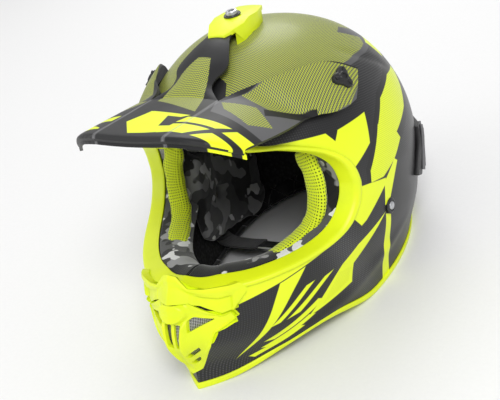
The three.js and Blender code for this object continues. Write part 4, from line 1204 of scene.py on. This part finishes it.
def makeSkirts():
    # Camouflage cloth behind the eyeport's flange, beside the cheek pads.
    k = np.linspace(0, 1, 16)
    inset, off = 5.6 - 4.0 * k + 5 * np.sin(np.pi * k), -13.2 - 30 * k
    for side, word in ((1, "left"), (-1, "right")):
        angle = np.radians(np.linspace(-86, 38, 120))
        angle = (angle if side > 0 else np.pi - angle)[:, None]
        skirt = gridMesh(f"cheekSkirt_{word}", portPoint(angle, inset, off))
        thicken(skirt, 1.4, 0.0)
        place(skirt, finishes["paleCamo"], "helmet", "liner_fabric", sharp=180)
    angle = np.radians(np.linspace(52, 128, 60))
    path = portPoint(angle, 9.0, -19.0)
    strip = ribbon("browStrip", path, 13, 6, unit(portPoint(angle, 9, -26) - path), 1.5)
    layAlong(strip, path, 6)
    place(strip, finishes["airMesh"], "helmet", "mesh_fabric", sharp=60)


def makeNeckSkirt():
    # Cloth from the rim's inner edge in under the pads, round the sides and the back: partly liner cloth,
    # partly a dark sheet that stands in for the shade inside the neck opening.
    turn = np.radians(np.linspace(62, 298, 200))[:, None]
    k = np.linspace(0, 1, 14)
    skirt = gridMesh("neckSkirt", rimPoint(turn, -8.5 - 25 * k, 5.5 + 7 * k + 3 * np.sin(np.pi * k)))
    thicken(skirt, 1.2, 0.0)
    place(skirt, finishes["knit"], "helmet", "liner_fabric", sharp=180)


makeSkirts()
makeNeckSkirt()
for node, finish in pads["looks"].items():
    softPad(node, finish)
print("padding made")


# ---- straps

def makeStraps():
    # The frame's own strap solids with their edges bevelled.
    for word in ("left", "right"):
        strap = copyNode(f"chin_strap_{word}")
        soften(strap, 0.4, 2)
        place(strap, finishes["webbing"], "helmet", "webbing", f"chin_strap_{word}")


makeStraps()
print("straps made")


# ---- floor, lights and camera

view = {"turn": 35.59, "rise": 18.46, "roll": -8.10, "far": 800.43, "target": (0, -59.18, 116.71),
        "lens": 67.01}


def lay(vector):
    c, s = np.cos(np.radians(stance["pitch"])), np.sin(np.radians(stance["pitch"]))
    x, y, z = vector
    return np.array([x, y * c + z * s, z * c - y * s])


def makeCamera():
    a, e, r = (np.radians(view[k]) for k in ("turn", "rise", "roll"))
    back = np.array([np.sin(a) * np.cos(e), -np.cos(a) * np.cos(e), np.sin(e)])
    right = np.array([np.cos(a), np.sin(a), 0])
    up = np.cross(back, right)
    right, up = np.cos(r) * right + np.sin(r) * up, np.cos(r) * up - np.sin(r) * right
    spot = toRow(np.array(view["target"]) + view["far"] * back)
    camera = bpy.data.cameras.new("camera")
    camera.lens, camera.sensor_width = view["lens"], 36
    seen = bpy.data.objects.new("camera", camera)
    rows = Matrix([[*column] for column in (lay(right), lay(up), lay(back))]).transposed()
    seen.matrix_world = Matrix.Translation(Vector(spot)) @ rows.to_4x4()
    scene.collection.objects.link(seen)
    scene.camera = seen


def makeLight(name, spot, size, power, tint=(1, 1, 1)):
    lamp = bpy.data.lights.new(name, "AREA")
    lamp.shape, lamp.size, lamp.energy, lamp.color = "DISK", size, power, tint
    shone = bpy.data.objects.new(name, lamp)
    shone.location = spot
    aim = Vector((0, 0, 0.11)) - Vector(spot)
    shone.rotation_euler = aim.to_track_quat("-Z", "Y").to_euler()
    scene.collection.objects.link(shone)


def makeStage():
    paper = Finish("paper", Roughness=0.85)
    grain = paper.noise(3, 3)
    paper.wear(Base_Color=paper.colour(grain, (0.80, 0.80, 0.80), (0.84, 0.84, 0.84)))
    bpy.ops.mesh.primitive_plane_add(size=60, location=(0, 0, 0))
    floor = bpy.context.object
    floor.name = "floor"
    floor.data.materials.append(paper.material)
    world = bpy.data.worlds.new("room")
    world.use_nodes = True
    sky = world.node_tree.nodes["Background"]
    sky.inputs["Color"].default_value = (1, 1, 1, 1)
    sky.inputs["Strength"].default_value = 0.62
    scene.world = world
    makeLight("key", (0.9, -0.9, 1.5), 0.8, 19)
    makeLight("fill", (-1.3, -0.9, 0.8), 1.2, 4.5)
    makeLight("back", (-0.5, 1.2, 1.2), 1.0, 9)


makeStage()
makeCamera()
scene.view_settings.view_transform = "Standard"
print("stage made")
